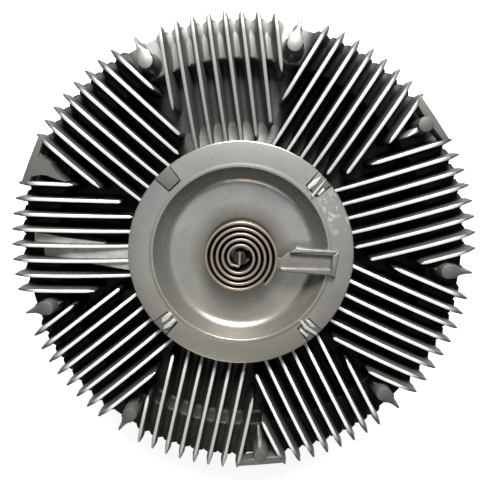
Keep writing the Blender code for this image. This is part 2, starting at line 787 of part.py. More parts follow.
def bimetal_coil(material):
    """Return the spiral strip as one closed ribbon."""
    path = coil_path()
    left = []
    right = []
    for index, point in enumerate(path):
        before = path[max(index - 1, 0)]
        after = path[min(index + 1, len(path) - 1)]
        along = (after - before).normalized()
        side = Vector((-along.y, along.x, 0)) * COIL_THICK / 2
        left.append(point + side)
        right.append(point - side)
    shape = bmesh.new()
    corners = []
    for here, there in zip(left, right):
        corners.append(
            [
                shape.verts.new((here.x, here.y, COIL_REAR)),
                shape.verts.new((there.x, there.y, COIL_REAR)),
                shape.verts.new((there.x, there.y, COIL_FRONT)),
                shape.verts.new((here.x, here.y, COIL_FRONT)),
            ]
        )
    for first, second in zip(corners, corners[1:]):
        for index in range(4):
            after = (index + 1) % 4
            shape.faces.new((first[index], first[after], second[after], second[index]))
    shape.faces.new(list(reversed(corners[0])))
    shape.faces.new(corners[-1])
    return place("bimetal_coil", shape, material)


# Valve


def valve_shaft(material):
    """Return the slotted shaft that the strip turns."""
    groove = VALVE_SHAFT_RADIUS - CLIP_GROOVE_DEPTH
    profile = [
        (0, ARM_REAR),
        (VALVE_SHAFT_RADIUS, ARM_REAR),
        (VALVE_SHAFT_RADIUS, CLIP_REAR - SEAT_GAP / 2),
        (groove, CLIP_REAR - SEAT_GAP / 2),
        (groove, CLIP_FRONT + SEAT_GAP),
        (VALVE_SHAFT_RADIUS, CLIP_FRONT + SEAT_GAP),
        (VALVE_SHAFT_RADIUS, VALVE_SHAFT_FRONT),
        (0, VALVE_SHAFT_FRONT),
    ]
    body = turned("valve_shaft", profile, SMALL_STEPS, material)
    half = COIL_THICK / 2 + SEAT_GAP
    long = 2 * VALVE_SHAFT_RADIUS
    outline = [(-half, -long), (half, -long), (half, long), (-half, long)]
    combine(body, prism("slot", outline, COIL_REAR - SEAT_GAP, VALVE_SHAFT_FRONT + MM), "DIFFERENCE")
    return body


def valve_clip(material):
    """Return the open clip that keeps the valve shaft in its bush."""
    inner = VALVE_SHAFT_RADIUS - CLIP_GROOVE_DEPTH + SEAT_GAP
    body = ring("valve_clip", inner, CLIP_RADIUS, CLIP_REAR, CLIP_FRONT, SMALL_STEPS * 2, material)
    half = inner * 0.8
    mouth = [(0, -half), (2 * CLIP_RADIUS, -half), (2 * CLIP_RADIUS, half), (0, half)]
    combine(body, prism("mouth", mouth, CLIP_REAR - MM, CLIP_FRONT + MM), "DIFFERENCE")
    return body


def seal_ring(name, circle, middle, section, steps, sides, material):
    """Return a seal of round section."""
    profile = []
    for index in range(sides):
        angle = 2 * math.pi * index / sides
        profile.append((circle + section * math.cos(angle), middle + section * math.sin(angle)))
    return turned(name, profile, steps, material)


def valve_arm(material):
    """Return the leaf with a round pad over each feed hole."""
    outline = []
    sides = 8
    for middle, start in ((FEED_HOLE_CIRCLE, -math.pi / 2), (-FEED_HOLE_CIRCLE, math.pi / 2)):
        for index in range(sides + 1):
            around = polar(ARM_PAD_RADIUS, start + math.pi * index / sides)
            outline.append((middle + around.x, around.y))
    body = prism("valve_arm", outline, ARM_REAR, ARM_FRONT, material)
    bore = round_bar("bore", VALVE_SHAFT_RADIUS + SEAT_GAP, ARM_REAR - MM, ARM_FRONT + MM)
    combine(body, bore, "DIFFERENCE")
    return body


def partition_plate(material):
    """Return the plate between the fluid store and the rotor, with its feed holes."""
    rear = PARTITION_REAR
    front = PARTITION_FRONT
    body = round_bar("partition_plate", PARTITION_RADIUS, rear, front, steps=CASTING_STEPS)
    body.data.materials.append(material)
    hole = round_bar("hole", FEED_HOLE_RADIUS, rear - MM, front + MM, (FEED_HOLE_CIRCLE, 0))
    combine(body, repeated("holes", hole, 2), "DIFFERENCE")
    return body


def pump_wiper(material):
    """Return the block that scrapes fluid off the rotor's rim."""
    inner = ROTOR_RADIUS + RUNNING_GAP
    half = WIPER_LENGTH / 2
    wall = CAVITY_RADIUS * math.cos(math.pi / CASTING_STEPS) - SEAT_GAP
    outer = reach(wall, half)
    outline = [(inner, -half), (outer, -half), (outer, half), (inner, half)]
    front = COVER_REAR - SEAT_GAP
    return prism("pump_wiper", turn_outline(outline, WIPER_TURN), front - WIPER_HEIGHT, front, material)


# Rotor, shaft and bearing


def rotor(material):
    """Return the rotor with its ring lands and fluid holes."""
    profile = [
        (BEARING_BORE, BEARING_FRONT + SEAT_GAP),
        (ROTOR_HUB_RADIUS, BEARING_FRONT + SEAT_GAP),
        (ROTOR_HUB_RADIUS, ROTOR_REAR),
        (ROTOR_RADIUS, ROTOR_REAR),
        (ROTOR_RADIUS, ROTOR_FRONT),
    ]
    land_front = COVER_REAR + GROOVE_DEPTH - LAND_END_GAP
    for index in reversed(range(LANDS)):
        middle = land_radius(index)
        profile.append((middle + LAND_WIDTH / 2, ROTOR_FRONT))
        profile.append((middle + LAND_WIDTH / 2, land_front))
        profile.append((middle - LAND_WIDTH / 2, land_front))
        profile.append((middle - LAND_WIDTH / 2, ROTOR_FRONT))
    profile.append((BEARING_BORE, ROTOR_FRONT))
    body = turned("rotor", profile, CASTING_STEPS, material)
    hole = round_bar("hole", ROTOR_HOLE_RADIUS, ROTOR_REAR - MM, ROTOR_FRONT + MM, (ROTOR_HOLE_CIRCLE, 0))
    combine(body, repeated("holes", hole, ROTOR_HOLES), "DIFFERENCE")
    simplify(body)
    return body


def drive_shaft(material):
    """Return the shaft with its bolt flange."""
    groove = SHAFT_RADIUS - RING_DEPTH
    ring_rear = ROTOR_FRONT
    ring_front = ring_rear + RING_THICK + 2 * SEAT_GAP
    profile = [
        (0, DRIVE_PILOT_DEPTH),
        (DRIVE_PILOT_RADIUS, DRIVE_PILOT_DEPTH),
        (DRIVE_PILOT_RADIUS, 0),
        (DRIVE_FLANGE_RADIUS, 0),
        (DRIVE_FLANGE_RADIUS, DRIVE_FLANGE_THICK),
        (NECK_RADIUS, DRIVE_FLANGE_THICK),
        (NECK_RADIUS, NECK_TOP),
        (SHAFT_RADIUS, NECK_TOP),
        (SHAFT_RADIUS, ring_rear),
        (groove, ring_rear),
        (groove, ring_front),
        (SHAFT_RADIUS, ring_front),
        (SHAFT_RADIUS, ring_front + SHAFT_END),
        (0, ring_front + SHAFT_END),
    ]
    body = turned("drive_shaft", profile, TURNED_STEPS, material)
    hole = round_bar("hole", DRIVE_HOLE_RADIUS, -MM, DRIVE_FLANGE_THICK + MM, (DRIVE_HOLE_CIRCLE, 0))
    combine(body, repeated("holes", hole, DRIVE_HOLES), "DIFFERENCE")
    return body


def lock_ring(name, inner, outer, rear, material):
    """Return an open lock ring with its mouth at +X."""
    front = rear + RING_THICK
    body = ring(name, inner, outer, rear, front, TURNED_STEPS, material)
    half = RING_MOUTH / 2
    mouth = [(0, -half), (2 * outer, -half), (2 * outer, half), (0, half)]
    combine(body, prism("mouth", mouth, rear - MM, front + MM), "DIFFERENCE")
    return body


def rotor_lock_ring(material):
    """Return the ring in the shaft's groove, in front of the rotor."""
    inner = SHAFT_RADIUS - RING_DEPTH + SEAT_GAP
    outer = inner + RING_RISE + RING_DEPTH
    return lock_ring("rotor_lock_ring", inner, outer, ROTOR_FRONT + SEAT_GAP, material)


def bearing_lock_ring(material):
    """Return the ring in the housing's groove, in front of the bearing."""
    outer = BEARING_SEAT + RING_DEPTH - SEAT_GAP
    inner = outer - RING_RISE - RING_DEPTH
    return lock_ring("bearing_lock_ring", inner, outer, BEARING_FRONT + SEAT_GAP, material)


def race_groove(lip, side):
    """Return the ball groove's points from rear to front; side is 1 outward and -1 inward."""
    radius = BALL_RADIUS + SEAT_GAP
    depth = abs(lip - BALL_CIRCLE)
    half_angle = math.acos(depth / radius)
    points = []
    sides = 4
    for index in range(sides + 1):
        angle = -half_angle + 2 * half_angle * index / sides
        height = BEARING_MIDDLE + radius * math.sin(angle)
        points.append((BALL_CIRCLE + side * radius * math.cos(angle), height))
    return points


def bearing_outer_race(material):
    """Return the outer race with its ball groove."""
    profile = race_groove(RACE_OUTER_LIP, 1)
    profile += [(RACE_OUTER_LIP, BEARING_FRONT), (BEARING_OUTER_RADIUS, BEARING_FRONT)]
    profile += [(BEARING_OUTER_RADIUS, BEARING_REAR), (RACE_OUTER_LIP, BEARING_REAR)]
    return turned("bearing_outer_race", profile, RACE_STEPS, material)


def bearing_inner_race(material):
    """Return the inner race with its ball groove."""
    profile = race_groove(RACE_INNER_LIP, -1)
    profile += [(RACE_INNER_LIP, BEARING_FRONT), (BEARING_BORE, BEARING_FRONT)]
    profile += [(BEARING_BORE, BEARING_REAR), (RACE_INNER_LIP, BEARING_REAR)]
    return turned("bearing_inner_race", profile, RACE_STEPS, material)


def ball(radius, subdivisions):
    """Return one ball on the ball circle."""
    shape = bmesh.new()
    centre = Matrix.Translation((BALL_CIRCLE, 0, BEARING_MIDDLE))
    bmesh.ops.create_icosphere(shape, subdivisions=subdivisions, radius=radius, matrix=centre)
    return place("ball", shape)


def bearing_balls(material):
    """Return the balls."""
    return copies("bearing_ball", ball(BALL_RADIUS, 2), BALLS, 0, material)


def bearing_cage(material):
    """Return the cage with a pocket for each ball."""
    inner = BALL_CIRCLE - CAGE_THICK / 2
    rear = BEARING_MIDDLE - CAGE_WIDTH / 2
    body = ring("bearing_cage", inner, inner + CAGE_THICK, rear, rear + CAGE_WIDTH, RACE_STEPS, material)
    pocket_radius = (BALL_RADIUS + SEAT_GAP) / math.cos(math.pi / POCKET_SIDES)
    pocket = round_bar("pocket", pocket_radius, inner - MM, inner + CAGE_THICK + MM, steps=POCKET_SIDES)
    pocket.data.transform(Matrix.Translation((0, 0, BEARING_MIDDLE)) @ Matrix.Rotation(math.pi / 2, 4, "Y"))
    combine(body, repeated("pockets", pocket, BALLS), "DIFFERENCE")
    return body


def bearing_shield(name, rear, material):
    """Return one thin shield between the races."""
    inner = RACE_INNER_LIP + SEAT_GAP
    outer = RACE_OUTER_LIP - SEAT_GAP
    return ring(name, inner, outer, rear, rear + SHIELD_THICK, RACE_STEPS, material)


# Rear housing and its fasteners


def rear_rib():
    """Return one radial rib of the rear housing, along +X."""
    half = REAR_RIB_THICK / 2
    inner = HOUSING_HUB_RADIUS - 2 * MM
    outer = SHELL_RADIUS - SHELL_CHAMFER
    shape = bmesh.new()
    side = [
        (inner, HOUSING_REAR + MM),
        (outer, HOUSING_REAR + MM),
        (outer, HOUSING_REAR - REAR_RIB_RIM_HEIGHT),
        (inner, HOUSING_REAR - REAR_RIB_HUB_HEIGHT),
    ]
    near = shape.faces.new([shape.verts.new((x, -half, z)) for x, z in side])
    pulled = bmesh.ops.extrude_face_region(shape, geom=[near])
    moved = [item for item in pulled["geom"] if isinstance(item, bmesh.types.BMVert)]
    bmesh.ops.translate(shape, verts=moved, vec=(0, 2 * half, 0))
    return place("rib", shape)


def rear_housing(material):
    """Return the rear casting with its bearing seat, ribs and fan pads."""
    groove_half = SEAL_SECTION + SEAT_GAP
    groove_floor = HOUSING_FLANGE_FRONT - 2 * SEAL_SECTION - SEAT_GAP
    ring_front = BEARING_FRONT + RING_THICK + 2 * SEAT_GAP
    profile = [
        (RIM_RADIUS, HOUSING_FLANGE_FRONT),
        (SEAL_CIRCLE + groove_half, HOUSING_FLANGE_FRONT),
        (SEAL_CIRCLE + groove_half, groove_floor),
        (SEAL_CIRCLE - groove_half, groove_floor),
        (SEAL_CIRCLE - groove_half, HOUSING_FLANGE_FRONT),
        (REGISTER_RADIUS, HOUSING_FLANGE_FRONT),
        (REGISTER_RADIUS, COVER_REAR - SEAT_GAP),
        (CAVITY_RADIUS, COVER_REAR - SEAT_GAP),
        (CAVITY_RADIUS, CAVITY_FLOOR),
        (BEARING_SEAT, CAVITY_FLOOR),
        (BEARING_SEAT, ring_front),
        (BEARING_SEAT + RING_DEPTH, ring_front),
        (BEARING_SEAT + RING_DEPTH, BEARING_FRONT),
        (BEARING_SEAT, BEARING_FRONT),
        (BEARING_SEAT, BEARING_REAR - SEAT_GAP),
        (HOUSING_HUB_MOUTH, BEARING_REAR - SEAT_GAP),
        (HOUSING_HUB_MOUTH, HOUSING_HUB_REAR),
        (HOUSING_HUB_RADIUS, HOUSING_HUB_REAR),
        (HOUSING_HUB_RADIUS, HOUSING_REAR),
        (SHELL_RADIUS - SHELL_CHAMFER, HOUSING_REAR),
        (SHELL_RADIUS, HOUSING_REAR + SHELL_CHAMFER),
        (SHELL_RADIUS, HOUSING_FLANGE_REAR),
        (RIM_RADIUS, HOUSING_FLANGE_REAR),
    ]
    body = turned("rear_housing", profile, CASTING_STEPS, material)
    rib_turn = math.pi / REAR_RIBS
    combine(body, repeated("ribs", rear_rib(), REAR_RIBS, rib_turn), "UNION")
    pad = round_bar("pad", FAN_PAD_RADIUS, FAN_FACE, HOUSING_REAR + MM, (FAN_PAD_CIRCLE, 0), SMALL_STEPS)
    combine(body, repeated("pads", pad, FAN_PADS), "UNION")
    stud_hole = round_bar(
        "hole", STUD_RADIUS + SEAT_GAP, FAN_FACE - MM, FAN_FACE + STUD_DEPTH + SEAT_GAP, (FAN_PAD_CIRCLE, 0)
    )
    combine(body, repeated("holes", stud_hole, FAN_PADS), "DIFFERENCE")
    hole = round_bar(
        "hole",
        SCREW_RADIUS + SEAT_GAP,
        HOUSING_FLANGE_REAR - MM,
        HOUSING_FLANGE_FRONT + MM,
        (SCREW_CIRCLE, 0),
    )
    combine(body, repeated("holes", hole, PACKS, gap_angle(0)), "DIFFERENCE")
    simplify(body)
    return body


def fan_studs(material):
    """Return the studs that hold the fan."""
    stud = round_bar("stud", STUD_RADIUS, FAN_FACE - STUD_REACH, FAN_FACE + STUD_DEPTH, (FAN_PAD_CIRCLE, 0))
    return copies("fan_stud", stud, FAN_PADS, 0, material)


def cover_screws(material):
    """Return the hexagon screws that hold the castings together."""
    head_front = HOUSING_FLANGE_REAR - SEAT_GAP
    head_rear = head_front - SCREW_HEAD_HEIGHT
    shank_front = SPLIT + SCREW_DEPTH
    screw = round_bar("screw", SCREW_HEAD_RADIUS, head_rear, head_front, (SCREW_CIRCLE, 0), 6)
    shank = round_bar("shank", SCREW_RADIUS, head_front - MM, shank_front, (SCREW_CIRCLE, 0), SCREW_STEPS)
    combine(screw, shank, "UNION")
    return copies("cover_screw", screw, PACKS, gap_angle(0), material)


def main():
    """Build every piece."""
    clear_scene()
    cast = finish("cast_aluminium", (0.46, 0.46, 0.44), 0.45, 0.9)
    pressed = finish("pressed_steel", (0.42, 0.42, 0.40), 0.4, 0.9)
    spring = finish("bimetal_strip", (0.45, 0.40, 0.33), 0.4, 0.9)
    steel = finish("turned_steel", (0.40, 0.40, 0.41), 0.3, 1.0)
    zinc = finish("zinc_plated_steel", (0.55, 0.54, 0.50), 0.35, 1.0)
    rubber = finish("black_rubber", (0.02, 0.02, 0.02), 0.8, 0.0)
    brass = finish("cage_brass", (0.60, 0.45, 0.18), 0.35, 1.0)
    pieces = [
        front_cover(cast),
        rear_housing(cast),
        cover_plate(pressed),
        plate_gasket(rubber),
        coil_bracket(pressed),
        bimetal_coil(spring),
        valve_shaft(steel),
        valve_clip(steel),
        valve_arm(steel),
        partition_plate(pressed),
        pump_wiper(steel),
        rotor(cast),
        drive_shaft(steel),
        rotor_lock_ring(steel),
        bearing_lock_ring(steel),
        bearing_outer_race(steel),
        bearing_inner_race(steel),
        bearing_cage(brass),
        bearing_shield("bearing_rear_shield", BEARING_REAR + SHIELD_INSET, steel),
        bearing_shield("bearing_front_shield", BEARING_FRONT - SHIELD_INSET - SHIELD_THICK, steel),
    ]
    pieces += bearing_balls(steel)
    pieces += fan_studs(zinc)
    pieces += cover_screws(zinc)
    bush_middle = (BUSH_TOP + BUSH_REAR) / 2
    seal_circle = VALVE_SHAFT_RADIUS + SEAT_GAP + VALVE_SEAL_SECTION
    small = (VALVE_SEAL_SECTION, SMALL_STEPS, SEAL_SIDES)
    pieces.append(seal_ring("valve_seal", seal_circle, bush_middle, *small, rubber))
    seal_middle = HOUSING_FLANGE_FRONT - SEAL_SECTION
    large = (SEAL_SECTION, CASTING_STEPS, SEAL_SIDES)
    pieces.append(seal_ring("housing_seal", SEAL_CIRCLE, seal_middle, *large, rubber))
    for piece in pieces:
        shade(piece)


main()
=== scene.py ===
"""Studio scene of a viscous fan clutch, seen square on its finned front.

Lengths in the settings are metres. Working lengths inside the functions are millimetres,
measured from the clutch axis and from the drive flange's rear face.
"""

import json
import math

import bmesh
import bpy
from mathutils import Matrix, Vector

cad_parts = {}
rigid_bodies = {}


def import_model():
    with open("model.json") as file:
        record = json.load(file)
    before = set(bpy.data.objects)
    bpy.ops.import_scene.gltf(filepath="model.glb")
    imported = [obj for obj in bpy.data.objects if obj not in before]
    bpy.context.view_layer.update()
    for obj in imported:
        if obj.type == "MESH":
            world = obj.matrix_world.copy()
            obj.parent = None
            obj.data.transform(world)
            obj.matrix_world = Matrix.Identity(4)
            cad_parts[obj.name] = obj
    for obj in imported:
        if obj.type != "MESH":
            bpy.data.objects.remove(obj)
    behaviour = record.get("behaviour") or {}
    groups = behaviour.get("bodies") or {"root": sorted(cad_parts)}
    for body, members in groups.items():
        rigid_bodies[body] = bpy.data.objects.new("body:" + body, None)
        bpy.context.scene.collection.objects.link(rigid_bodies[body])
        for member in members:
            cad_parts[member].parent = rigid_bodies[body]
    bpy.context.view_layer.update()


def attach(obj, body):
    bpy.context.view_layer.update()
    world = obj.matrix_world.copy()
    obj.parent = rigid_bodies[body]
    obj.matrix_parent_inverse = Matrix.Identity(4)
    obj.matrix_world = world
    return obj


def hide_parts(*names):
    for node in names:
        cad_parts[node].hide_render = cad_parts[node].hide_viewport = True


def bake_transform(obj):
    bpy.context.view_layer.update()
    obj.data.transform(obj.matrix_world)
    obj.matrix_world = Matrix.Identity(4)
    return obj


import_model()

bl_info = {
    "name": "Viscous fan clutch",
    "version": (1, 0, 0),
    "blender": (4, 5, 0),
    "location": "View3D > Sidebar > Fan clutch",
    "description": "Builds the finned casting, the plate, the spiral strip and the studio",
    "category": "Object",
}

MM = 0.001

# Heights in mm that the pieces share
FLOOR = 67.7
TIP = 92.7
RIM = 78.7
SPLIT = 65.7
COVER_REAR = 59.7
PLATE_TOP = 93.2
PLATE_THICK = 2.0
DISH_DEPTH = 9.0
HUB_TOP = 90.9
STRIP_LOW = 88.7
STRIP_HIGH = 100.7

# Radii in mm that the pieces share
TIP_RADIUS = 127.0
RIM_RADIUS = 125.0
HUB_RADIUS = 61.0
PLATE_RADIUS = 61.3
FLOOR_STEP_START = 104.4
FLOOR_STEP_WIDTH = 1.6
SPIGOT_RADIUS = 103.7

PACKS = 9
LUGS = 4
PACK_TURN = math.radians(19.8)
GAP_TURN = math.radians(18.2)
LUG_TURN = math.radians(45)
POST_CIRCLE = 113.2
WEB_CIRCLE = 118.6
WEB_TOP = TIP - 1.0

# Directions in degrees of the top and bottom packs, where painted light makes the casting lighter and the fin
# tops take other tones
TOP_PACK_HEADING = 98.0
BOTTOM_PACK_HEADING = 259.8

# Sides that stand for each rounded corner of an outline
CORNER_SIDES = 4


def linear(code):
    """Turn an sRGB hex colour into linear values with full alpha."""
    values = []
    for index in (0, 2, 4):
        channel = int(code[index:index + 2], 16) / 255
        values.append(channel / 12.92 if channel <= 0.04045 else ((channel + 0.055) / 1.055) ** 2.4)
    return (*values, 1.0)


class ClutchSettings(bpy.types.PropertyGroup):
    """Sizes and colours that a user may change."""

    fin_pitch: bpy.props.FloatProperty(
        name="Fin pitch", description="Distance between neighbouring fins", default=0.0085, unit="LENGTH"
    )
    fin_land: bpy.props.FloatProperty(
        name="Fin land", description="Width of a fin at its top", default=0.0020, unit="LENGTH"
    )
    fin_root: bpy.props.FloatProperty(
        name="Fin root", description="Width of a fin at its foot", default=0.0046, unit="LENGTH"
    )
    fin_fillet: bpy.props.FloatProperty(
        name="Fin fillet", description="Radius where a fin meets the floor", default=0.0013, unit="LENGTH"
    )
    strip_thick: bpy.props.FloatProperty(
        name="Strip thickness", description="Thickness of the spiral strip", default=0.0014, unit="LENGTH"
    )
    # The dark colour low in the slots is painted shade.
    slot_shade_colour: bpy.props.FloatVectorProperty(
        name="Film", description="Film between the fins", default=linear("181817")[:3], subtype="COLOR"
    )
    # The fin tops' near white is partly rubbed metal and partly painted light.
    land_colour: bpy.props.FloatVectorProperty(
        name="Fin tops", description="Rubbed tops of the fins", default=linear("eeeeea")[:3], subtype="COLOR"
    )
    plate_colour: bpy.props.FloatVectorProperty(
        name="Plate", description="Steel of the dished plate", default=linear("bdbcb5")[:3], subtype="COLOR"
    )
    strip_colour: bpy.props.FloatVectorProperty(
        name="Strip", description="Front edge of the strip", default=linear("b5aa9c")[:3], subtype="COLOR"
    )


def settings():
    """Return the scene's clutch settings."""
    return bpy.context.scene.fan_clutch


def chosen_colour(key):
    """Return one of the settings' colours with full alpha."""
    return (*getattr(settings(), key), 1.0)


# Materials


def add(tree, kind, values=(), **options):
    """Add a node, set its options, and fill or link its inputs."""
    node = tree.nodes.new(kind)
    for key, value in options.items():
        setattr(node, key, value)
    for socket, value in dict(values).items():
        if isinstance(value, bpy.types.NodeSocket):
            tree.links.new(value, node.inputs[socket])
        else:
            node.inputs[socket].default_value = value
    return node


def start_material(name):
    """Return a new material, its tree and its Principled shader."""
    made = bpy.data.materials.new(name)
    made.use_nodes = True
    shader = made.node_tree.nodes["Principled BSDF"]
    return made, made.node_tree, shader


def tint(tree, value, ends, first, second, share=(0.0, 1.0)):
    """Blend two colours as a value runs between two ends; share is the second one's part at each."""
    values = {"Value": value, "From Min": ends[0], "From Max": ends[1], "To Min": share[0], "To Max": share[1]}
    amount = add(tree, "ShaderNodeMapRange", values).outputs["Result"]
    return add(tree, "ShaderNodeMix", {0: amount, 6: first, 7: second}, data_type="RGBA").outputs[2]


def grainy(tree, shader, where, size_mm, depth_mm, strength, detail=3.0, rough=0.6):
    """Roughen a surface with a fine grain of a size and a depth in mm."""
    values = {"Vector": where, "Scale": 1000.0 / size_mm, "Detail": detail, "Roughness": rough}
    height = add(tree, "ShaderNodeTexNoise", values).outputs["Fac"]
    values = {"Height": height, "Distance": depth_mm * MM, "Strength": strength}
    normal = add(tree, "ShaderNodeBump", values).outputs["Normal"]
    tree.links.new(normal, shader.inputs["Normal"])


def patchy_gloss(tree, shader, mottle, low, high):
    """Let a surface's roughness follow its patches."""
    values = {"Value": mottle, "From Min": 0.3, "From Max": 0.7, "To Min": low, "To Max": high}
    rough = add(tree, "ShaderNodeMapRange", values).outputs["Result"]
    tree.links.new(rough, shader.inputs["Roughness"])


def axis_radius(tree, where):
    """Return the distance from the clutch axis."""
    flat = add(tree, "ShaderNodeVectorMath", {0: where, 1: (1.0, 1.0, 0.0)}, operation="MULTIPLY")
    return add(tree, "ShaderNodeVectorMath", {0: flat.outputs[0]}, operation="LENGTH").outputs["Value"]


def sector(tree, where, degrees, inner, outer):
    """Return 1 near a direction from the axis and 0 away from it; inner and outer are cosines."""
    flat = add(tree, "ShaderNodeVectorMath", {0: where, 1: (1.0, 1.0, 0.0)}, operation="MULTIPLY")
    way = add(tree, "ShaderNodeVectorMath", {0: flat.outputs[0]}, operation="NORMALIZE")
    angle = math.radians(degrees)
    heading = (math.cos(angle), math.sin(angle), 0.0)
    along = add(tree, "ShaderNodeVectorMath", {0: way.outputs[0], 1: heading}, operation="DOT_PRODUCT")
    values = {"Value": along.outputs["Value"], "From Min": outer, "From Max": inner}
    return add(tree, "ShaderNodeMapRange", values).outputs["Result"]


def cast_aluminium():
    """Die-cast aluminium with painted shade: near black low in the slots and greyer above, with random darker
    patches; painted light makes the top and bottom packs lighter.
    """
    made, tree, shader = start_material("cast_aluminium_stained")
    where = add(tree, "ShaderNodeTexCoord").outputs["Object"]
    facing = add(tree, "ShaderNodeNewGeometry").outputs["Normal"]
    height = add(tree, "ShaderNodeSeparateXYZ", {"Vector": where}).outputs["Z"]
    upward = add(tree, "ShaderNodeSeparateXYZ", {"Vector": facing}).outputs["Z"]
    patches = {"Vector": where, "Scale": 1000.0 / 9.0, "Detail": 4.0, "Roughness": 0.6}
    mottle = add(tree, "ShaderNodeTexNoise", patches).outputs["Fac"]
    upper = ((RIM + 1.0) * MM, (TIP - 3.0) * MM)
    # Painted shade: darker down the slots, from the slot colour near the floor to grey near the fins' tops
    painted_shading = tint(tree, height, upper, chosen_colour("slot_shade_colour"), linear("6f6f6b"))
    painted_shading = tint(tree, mottle, (0.35, 0.7), painted_shading, linear("3c3b38"), (0.0, 0.3))
    lower = ((FLOOR + 1.0) * MM, (RIM - 1.0) * MM)
    # Painted light in the top pack: lighter walls, and upward faces that grow lighter with height
    lit_wall = tint(tree, height, lower, linear("62625f"), linear("6e6e6b"))
    lit_rim = tint(tree, height, lower, linear("4e4e4b"), linear("8e8e8a"))
    lit_pack = tint(tree, upward, (0.75, 0.92), lit_wall, lit_rim)
    top = sector(tree, where, TOP_PACK_HEADING, 0.942, 0.915)
    painted_shading = add(tree, "ShaderNodeMix", {0: top, 6: painted_shading, 7: lit_pack}, data_type="RGBA").outputs[2]
    # Painted light in the bottom pack, on its steep faces
    low = sector(tree, where, BOTTOM_PACK_HEADING, 0.985, 0.955)
    values = {"Value": upward, "From Min": 0.4, "From Max": 0.8, "To Min": 0.5, "To Max": 0.05}
    sheer = add(tree, "ShaderNodeMapRange", values).outputs["Result"]
    low_share = add(tree, "ShaderNodeMath", {0: low, 1: sheer}, operation="MULTIPLY").outputs[0]
    painted_shading = add(tree, "ShaderNodeMix", {0: low_share, 6: painted_shading, 7: lit_wall}, data_type="RGBA").outputs[2]
    tree.links.new(painted_shading, shader.inputs["Base Color"])
    patchy_gloss(tree, shader, mottle, 0.46, 0.62)
    shader.inputs["Metallic"].default_value = 0.6
    grainy(tree, shader, where, 0.9, 0.10, 0.7, 4.0, 0.7)
    return made


def worn_and_lit_land():
    """The fins' flat tops, near white: partly their rubbed metal and partly painted light; darker towards the
    tips and in the top and bottom packs, with a fine grey grain.
    """
    made, tree, shader = start_material("cast_aluminium_worn")
    where = add(tree, "ShaderNodeTexCoord").outputs["Object"]
    patches = {"Vector": where, "Scale": 1000.0 / 6.0, "Detail": 4.0, "Roughness": 0.6}
    mottle = add(tree, "ShaderNodeTexNoise", patches).outputs["Fac"]
    tone = tint(tree, mottle, (0.3, 0.7), chosen_colour("land_colour"), linear("dcdcd8"))
    tone = tint(tree, axis_radius(tree, where), (115.0 * MM, 122.0 * MM), tone, linear("5c5c59"))
    top = sector(tree, where, TOP_PACK_HEADING, 0.942, 0.915)
    tone = add(tree, "ShaderNodeMix", {0: top, 6: tone, 7: linear("a0a09c")}, data_type="RGBA").outputs[2]
    low = sector(tree, where, BOTTOM_PACK_HEADING, 0.955, 0.935)
    tone = add(tree, "ShaderNodeMix", {0: low, 6: tone, 7: linear("b4b2aa")}, data_type="RGBA").outputs[2]
    tree.links.new(tone, shader.inputs["Base Color"])
    shader.inputs["Metallic"].default_value = 0.4
    shader.inputs["Roughness"].default_value = 0.5
    grainy(tree, shader, where, 0.7, 0.06, 0.6)
    return made


def pressed_steel():
    """Pressed steel plate, dull, with random patches and faintly brown specks; painted shade makes it darker
    and browner towards the bottom, brown in a ring round the strip and near black under the strip.
    """
    made, tree, shader = start_material("pressed_steel_dull")
    where = add(tree, "ShaderNodeTexCoord").outputs["Object"]
    patches = {"Vector": where, "Scale": 1000.0 / 22.0, "Detail": 5.0, "Roughness": 0.55}
    mottle = add(tree, "ShaderNodeTexNoise", patches).outputs["Fac"]
    tone = tint(tree, mottle, (0.3, 0.7), chosen_colour("plate_colour"), linear("a2a4a1"))
    specks = {"Vector": where, "Scale": 1000.0 / 2.2, "Detail": 3.0, "Roughness": 0.7}
    speck = add(tree, "ShaderNodeTexNoise", specks).outputs["Fac"]
    tone = tint(tree, speck, (0.58, 0.72), tone, linear("7d776c"), (0.0, 0.35))
    radius = axis_radius(tree, where)
    # Painted shade: darker and browner towards the bottom
    across = add(tree, "ShaderNodeSeparateXYZ", {"Vector": where}).outputs["Y"]
    tone = tint(tree, across, (10.0 * MM, -50.0 * MM), tone, linear("b0a690"), (0.0, 0.5))
    flakes = {"Vector": where, "Scale": 1000.0 / 5.0, "Detail": 3.0, "Roughness": 0.6}
    flake = add(tree, "ShaderNodeTexNoise", flakes).outputs["Fac"]
    values = {"Value": flake, "From Min": 0.5, "From Max": 0.6}
    patch = add(tree, "ShaderNodeMapRange", values).outputs["Result"]
    side = sector(tree, where, 27.0, 0.992, 0.975)
    worn = add(tree, "ShaderNodeMath", {0: patch, 1: side}, operation="MULTIPLY").outputs[0]
    values = {"Value": radius, "From Min": 50.5 * MM, "From Max": 51.5 * MM}
    band = add(tree, "ShaderNodeMapRange", values).outputs["Result"]
    worn = add(tree, "ShaderNodeMath", {0: worn, 1: band}, operation="MULTIPLY").outputs[0]
    tone = add(tree, "ShaderNodeMix", {0: worn, 6: tone, 7: linear("f2f2ee")}, data_type="RGBA").outputs[2]
    # Painted shade: a brown ring round the strip, fading outward
    tone = tint(tree, radius, (20.0 * MM, 30.0 * MM), tone, linear("6b6252"), (0.75, 0.0))
    # Painted shade: near black between the strip's turns
    tone = tint(tree, radius, (18.5 * MM, 20.5 * MM), tone, linear("17120e"), (1.0, 0.0))
    tree.links.new(tone, shader.inputs["Base Color"])
    shader.inputs["Metallic"].default_value = 0.8
    patchy_gloss(tree, shader, mottle, 0.24, 0.32)
    grainy(tree, shader, where, 0.5, 0.02, 0.5)
    return made


